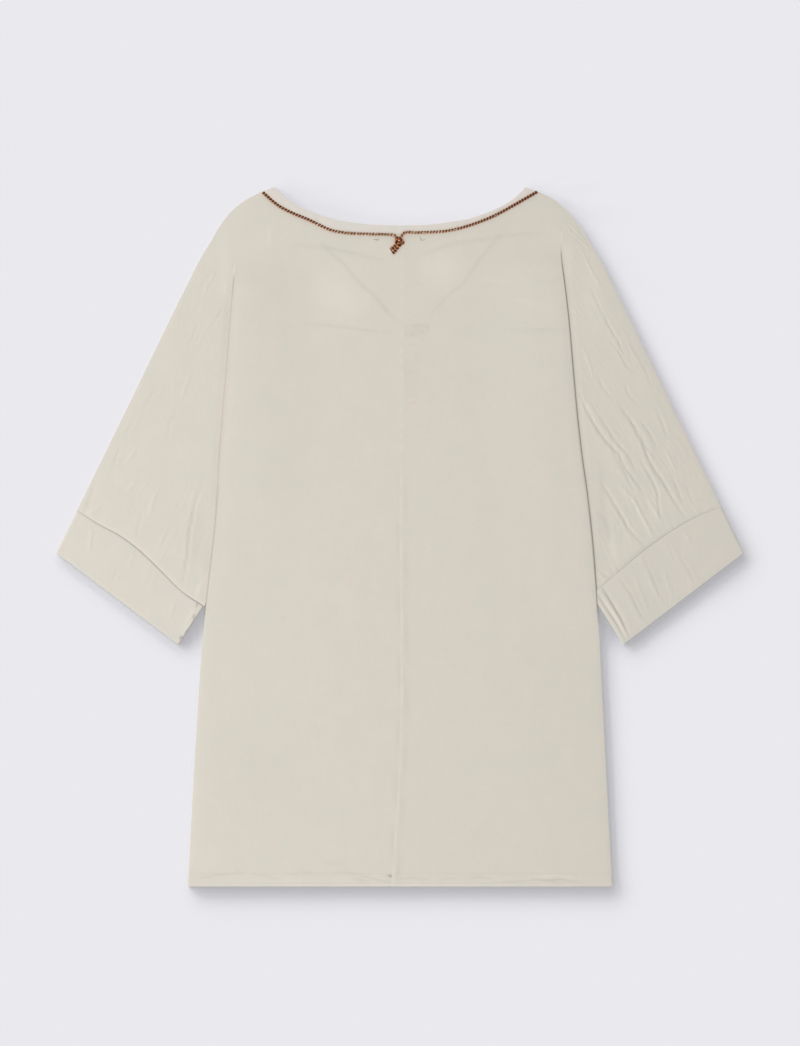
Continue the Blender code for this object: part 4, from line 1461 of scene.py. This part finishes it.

# %% [markdown]
# ## The twisted cord
#
# The cord is two strands laid round each other, with a few pale threads among the reddish brown
# ones. Each strand is a tube that follows a helix round the cord's own line. As with the sheets,
# a tube is a grid whose points are moved: rows along the strand, columns round it. Two numbers
# are kept on the points for the finish: how far a point faces outward, because shade is painted
# into the grooves between the strands, and whether it is at a cut end, where pale threads show.

# %% The finish of the cord
light_tan = (0.72, 0.44, 0.265, 1.0)
red_brown = (0.48, 0.165, 0.046, 1.0)
plain_brown = (0.33, 0.115, 0.042, 1.0)
groove_shade_brown = (0.100, 0.024, 0.005, 1.0)
pale_thread = (0.95, 0.86, 0.72, 1.0)
recipe = Recipe("twisted cord")
place = recipe.place((1.0, 1.0, 1.0))
flecks = recipe.noise(recipe.place((480.0, 480.0, 480.0)), 1.0)
fibres = recipe.noise(recipe.place((1900.0, 1900.0, 1900.0)), 2.0)
across = recipe.part(place, "X")
outward = recipe.attribute("outward") + fibres * 0.15 + flecks * 0.2
facing = recipe.ramp(outward, 0.64, 0.86)
worn = recipe.ramp(abs(across) + across * 0.12 + flecks * 0.03, 0.045, 0.170)
knotted = recipe.ramp(recipe.part(place, "Y") + flecks * 0.002, 0.3530, 0.3505)
light = recipe.mix(knotted * 0.9, recipe.mix(worn, light_tan, plain_brown), red_brown)
# Painted shade: each strand turns dark toward the grooves between the strands, where shade falls.
brown = recipe.mix(facing, groove_shade_brown, light)
specks = flecks + recipe.attribute("cut") * 2.0 - worn * 0.2 - knotted * 0.05
recipe.fill(recipe.shader, {
    "Base Color": recipe.mix(recipe.ramp(specks, 0.11, 0.15), brown, pale_thread),
    "Roughness": fibres * 0.3 + 0.6,
    "Normal": recipe.bump(fibres, 0.12 * MM, 0.6),
    "Specular IOR Level": 0.35,
})
cord_finish = recipe.material
print("finish:", cord_finish.name)

# %% A cord's route
STRANDS = 2
STRAND_LAY = 1.00 * MM     # from the cord's line to the middle of a strand
STRAND = 1.05 * MM         # radius of a strand
PITCH = 7.2 * MM           # length of one full turn of the strands
AROUND = 10                # points round a strand
END_ROUNDED = 0.55         # size of a strand's last ring beside the others
CORD_STEP = 0.5 * MM       # from one ring of a strand to the next
TABLE = 24                 # places in each part of a route that are measured along it


def even_points(route, step):
    """Points along the smooth curve through a route, a step apart."""
    axes = [curve_through([(i, point[axis]) for i, point in enumerate(route)]) for axis in range(3)]
    fine = (len(route) - 1) * TABLE
    dense = [Vector([axis(i / TABLE) for axis in axes]) for i in range(fine + 1)]
    lengths = np.concatenate([[0.0], np.cumsum([(b - a).length for a, b in zip(dense, dense[1:])])])
    count = max(round(lengths[-1] / step), 4)
    wanted = np.linspace(0.0, lengths[-1], count + 1)
    table = np.array([tuple(point) for point in dense])
    return [Vector([np.interp(w, lengths, table[:, axis]) for axis in range(3)]) for w in wanted]


def frames_along(points):
    """Normal and side at each point, carried along without turning round the route."""
    normal = Vector((0.0, 0.0, 1.0))
    frames = []
    for i, point in enumerate(points):
        ahead = points[min(i + 1, len(points) - 1)] - points[max(i - 1, 0)]
        tangent = ahead.normalized()
        normal = (normal - tangent * normal.dot(tangent)).normalized()
        frames.append((normal, tangent.cross(normal)))
    return frames


print("a metre of cord has", round(1 / PITCH), "turns")

# %% Laying the cord
def add_cord(name, route, hand=1, scale=1.0, cut=False):
    """Add strands laid round each other along a route of points. The last end can be cut."""
    bm = new_bmesh("outward", "cut")
    outward_layer = bm.verts.layers.float["outward"]
    cut_layer = bm.verts.layers.float["cut"]
    points = even_points(route, CORD_STEP)
    frames = frames_along(points)
    rows = len(points) - 1
    for strand in range(STRANDS):
        grid = bmesh.ops.create_grid(bm, x_segments=AROUND, y_segments=rows, size=1.0)
        for vert in grid["verts"]:
            column = round((vert.co.x + 1) / 2 * AROUND)
            row = round((vert.co.y + 1) / 2 * rows)
            turn = hand * (row * CORD_STEP / PITCH + strand / STRANDS) * 2 * pi
            normal, sideways = frames[row]
            radial = normal * cos(turn) + sideways * sin(turn)
            round_about = sideways * cos(turn) - normal * sin(turn)
            angle = 2 * pi * column / AROUND
            ring = STRAND * scale * (END_ROUNDED if row in (0, rows) else 1.0)
            vert.co = points[row] + radial * (STRAND_LAY * scale + ring * cos(angle))
            vert.co += round_about * ring * sin(angle)
            vert[outward_layer] = (1 + cos(angle)) / 2
            vert[cut_layer] = float(cut and row == rows)
    bmesh.ops.remove_doubles(bm, verts=bm.verts, dist=0.002 * MM)
    rims = [edge for edge in bm.edges if edge.is_boundary]
    bmesh.ops.holes_fill(bm, edges=rims, sides=0)
    bmesh.ops.recalc_face_normals(bm, faces=bm.faces)
    return add_piece(name, bm, cord_finish)


print("a cord is", round(2 * (STRAND_LAY + STRAND) / MM, 1), "mm thick")

# %% [markdown]
# ## The cord on the neckline, its knot and its tails
#
# Two halves of cord run from the shoulders along the seam of the back neckband and leave it on
# either side of the middle, where they are tied in a small knot that leans to the left. Two short
# tails come out of the knot. The knot is an overhand knot, which closes on itself as a trefoil: a
# line that goes twice round the middle while it rises and falls three times.

# %% The two halves of the cord
CORD_LIES = 2.7 * MM       # height of the cord's line on the seam
CORD_SEWN_TO = 0.020       # where the cord leaves the seam, on either side of the knot
CORD_ENDS = {
    LEFT: ((-0.0100, 0.7632, 0.0034), (-0.0066, 0.7622, 0.0040), (-0.0037, 0.7598, 0.0046),
           (-0.0020, 0.7570, 0.0040)),
    RIGHT: ((0.0080, 0.7662, 0.0034), (0.0041, 0.7648, 0.0040), (0.0012, 0.7608, 0.0046),
            (-0.0008, 0.7570, 0.0040)),
}
CORD_BELOW = {             # places along the neckline, and how far below the seam the cord lies
    LEFT: ((0.020, 0.0019), (0.080, 0.0017), (0.097, 0.0002), (0.122, 0.0001), (0.136, 0.0011),
           (0.161, 0.0012)),
    RIGHT: ((0.020, 0.0003), (0.042, 0.0010), (0.100, 0.0014), (0.124, 0.0018), (0.148, 0.0009),
            (0.161, 0.0006)),
}

cords = {}
for name, side in (("left_cord_half", LEFT), ("right_cord_half", RIGHT)):
    seam, below = back_seams[side], curve_through(CORD_BELOW[side])
    route = []
    for across in spread((CORNER, CORD_SEWN_TO), (24,)):
        route.append(in_model(side * across, seam(across) - below(across), CORD_LIES))
    route += [in_model(*point) for point in CORD_ENDS[side]]
    cords[name] = add_cord(name, route, hand=-1)

# %% The tails and the knot
CORD_TAILS = {
    "left_cord_tail": (
        (-0.0020, 0.7540, 0.0040), (-0.0044, 0.7512, 0.0041), (-0.0070, 0.7489, 0.0038),
        (-0.0095, 0.7469, 0.0035), (-0.0118, 0.7454, 0.0034),
    ),
    "right_cord_tail": (
        (-0.0010, 0.7525, 0.0040), (-0.0028, 0.7484, 0.0042), (-0.0048, 0.7454, 0.0040),
        (-0.0066, 0.7434, 0.0036), (-0.0088, 0.7416, 0.0034),
    ),
}
for name, points in CORD_TAILS.items():
    route = [in_model(*point) for point in points]
    cords[name] = add_cord(name, route, scale=1.2, cut=name == "left_cord_tail")

KNOT_AT = in_model(-0.0012, 0.7541, 0.0047)
KNOT_LEAN = radians(-24)   # its top leans toward +X
KNOT_STEPS = 48            # points along the knot's line
KNOT_WIDE, KNOT_LONG, KNOT_RISE = 4.0 * MM, 5.2 * MM, 1.6 * MM
loops = []
for i in range(KNOT_STEPS + 1):
    turn = 2 * pi * i / KNOT_STEPS + pi / 6
    loops.append(Vector((
        KNOT_WIDE * (sin(turn) + 2 * sin(2 * turn)) / 3,
        KNOT_LONG * (cos(turn) - 2 * cos(2 * turn)) / 3,
        -KNOT_RISE * sin(3 * turn),
    )))
lean = Matrix.Rotation(KNOT_LEAN, 3, "Z")
cords["cord_knot"] = add_cord("cord_knot", [lean @ point + KNOT_AT for point in loops], scale=1.3)

# %% [markdown]
# ## Stitches
#
# The hem is held by a row of small stitches, two tacks below the neckline hold something inside,
# and a few thread ends are left over. A stitch is a small ball stretched along its thread, with
# few faces, because there are many of them.

# %% Thread and stitches
def thread(name, dark, light):
    """The finish of a thread between two colours."""
    recipe = Recipe(name)
    twist = recipe.noise(recipe.place((2500.0, 2500.0, 2500.0)))
    recipe.fill(recipe.shader, {
        "Base Color": recipe.mix(twist + 0.5, dark, light),
        "Roughness": twist * 0.2 + 0.7,
    })
    return recipe.material


def add_stitch(bm, place, direction, length, width=0.32 * MM):
    """Add one stitch: a small ball stretched along its thread."""
    turn = Vector((1.0, 0.0, 0.0)).rotation_difference(Vector(direction)).to_matrix().to_4x4()
    stretch = Matrix.Diagonal((length / 2, width / 2, width / 2, 1.0))
    matrix = Matrix.Translation(place) @ turn @ stretch
    bmesh.ops.create_icosphere(bm, subdivisions=1, radius=1.0, matrix=matrix)


def top_of(piece, x, up):
    """Height of a piece's upper face at a place."""
    evaluated = piece.evaluated_get(bpy.context.evaluated_depsgraph_get())
    found, spot, _, _ = evaluated.ray_cast(in_model(x, up, 0.05), Vector((0.0, 0.0, -1.0)))
    return spot.z if found else None


sewing_thread = thread("sewing thread", (0.50, 0.45, 0.37, 1.0), (0.68, 0.62, 0.52, 1.0))
grey_thread = thread("grey thread", (0.10, 0.09, 0.075, 1.0), (0.30, 0.27, 0.22, 1.0))
print("threads:", sewing_thread.name, "and", grey_thread.name)

# %% The hem's stitches
STITCH_STEP = 3.4 * MM     # from one stitch to the next
STITCH_LENGTH = 2.3 * MM
STITCHED_AT = HEM + 0.3 * MM
HALF_ROW = 72              # stitches on either side of the middle one
bm = new_bmesh()
for i in range(-HALF_ROW, HALF_ROW + 1):
    x = i * STITCH_STEP
    side = RIGHT if x > centre_at(HEM) else LEFT
    height = top_of(backs[side], x, STITCHED_AT)
    if height and abs(x) < side_at(HEM) - 1.5 * MM:
        add_stitch(bm, in_model(x, STITCHED_AT, height), (1.0, 0.0, 0.0), STITCH_LENGTH)
hem_stitches = add_piece("hem_stitches", bm, sewing_thread)

# %% Tacks below the neckline
# Each one is a place (x, up), the way its thread runs, its length and its width in millimetres.
TACKS = (
    (-29.4, 757.6, (1.0, 0.1), 2.6, 0.9), (-27.2, 758.0, (1.0, 0.4), 2.4, 0.8),
    (-25.0, 757.4, (1.0, -0.2), 2.0, 0.8), (-27.0, 756.8, (1.0, 0.2), 1.8, 0.6),
    (24.0, 759.6, (0.1, 1.0), 3.2, 0.8), (24.6, 757.4, (1.0, 0.5), 2.0, 0.9),
    (26.6, 757.0, (1.0, 0.1), 2.4, 0.8), (28.6, 757.6, (1.0, 0.4), 1.6, 0.7),
    (66.9, 771.9, (0.3, 1.0), 2.8, 0.9), (67.8, 770.6, (1.0, 0.2), 1.8, 0.8),
)
bm = new_bmesh()
for x, up, (right, forward), length, width in TACKS:
    x, up = x * MM, up * MM
    height = top_of(backs[RIGHT if x > 0 else LEFT], x, min(up, 0.766))
    place = in_model(x, up, height)
    add_stitch(bm, place, (right, forward, 0.0), length * MM, width * MM)
neck_tacks = add_piece("neck_tacks", bm, grey_thread)

# %% [markdown]
# ## Handing over
#
# Every piece rides on the model's one body, and each sheet of cloth and piece of cord stands in
# for its solid, which is hidden.

# %% Ride and replace
Sheet = namedtuple("Sheet", "piece node slot flat area rests_on")
SHEETS = (
    Sheet(backs[LEFT], "back_left", "cloth", (0.42, 0.814), 0.224, ["front_sheet"]),
    Sheet(backs[RIGHT], "back_right", "cloth", (0.42, 0.814), 0.225, ["front_sheet"]),
    Sheet(front_sheet, "front", "cloth", (0.84, 0.814), 0.433, ["floor"]),
    Sheet(bands["back_band"], "neckband_back", "neckband", (0.345, 0.0102), 0.0033, ["front_band"]),
    Sheet(bands["front_band"], "neckband_front", "neckband", (0.430, 0.0125), 0.0051, ["floor"]),
    Sheet(cuffs[LEFT], "cuff_left", "cuff", (0.372, 0.054), 0.0199, ["floor"]),
    Sheet(cuffs[RIGHT], "cuff_right", "cuff", (0.372, 0.065), 0.0241, ["floor"]),
)
for row in SHEETS:
    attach(row.piece, "root")
    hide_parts(row.node)
    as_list(row.rests_on)

CORD_NODES = {
    "left_cord_half": "neck_cord_left",
    "right_cord_half": "neck_cord_right",
    "cord_knot": "neck_knot",
    "left_cord_tail": "cord_tail_left",
    "right_cord_tail": "cord_tail_right",
}
for name, node in CORD_NODES.items():
    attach(cords[name], "root")
    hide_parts(node)
for piece in (hem_stitches, neck_tacks):
    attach(piece, "root")
print(len(SHEETS), "sheets and", len(CORD_NODES), "pieces of cord")
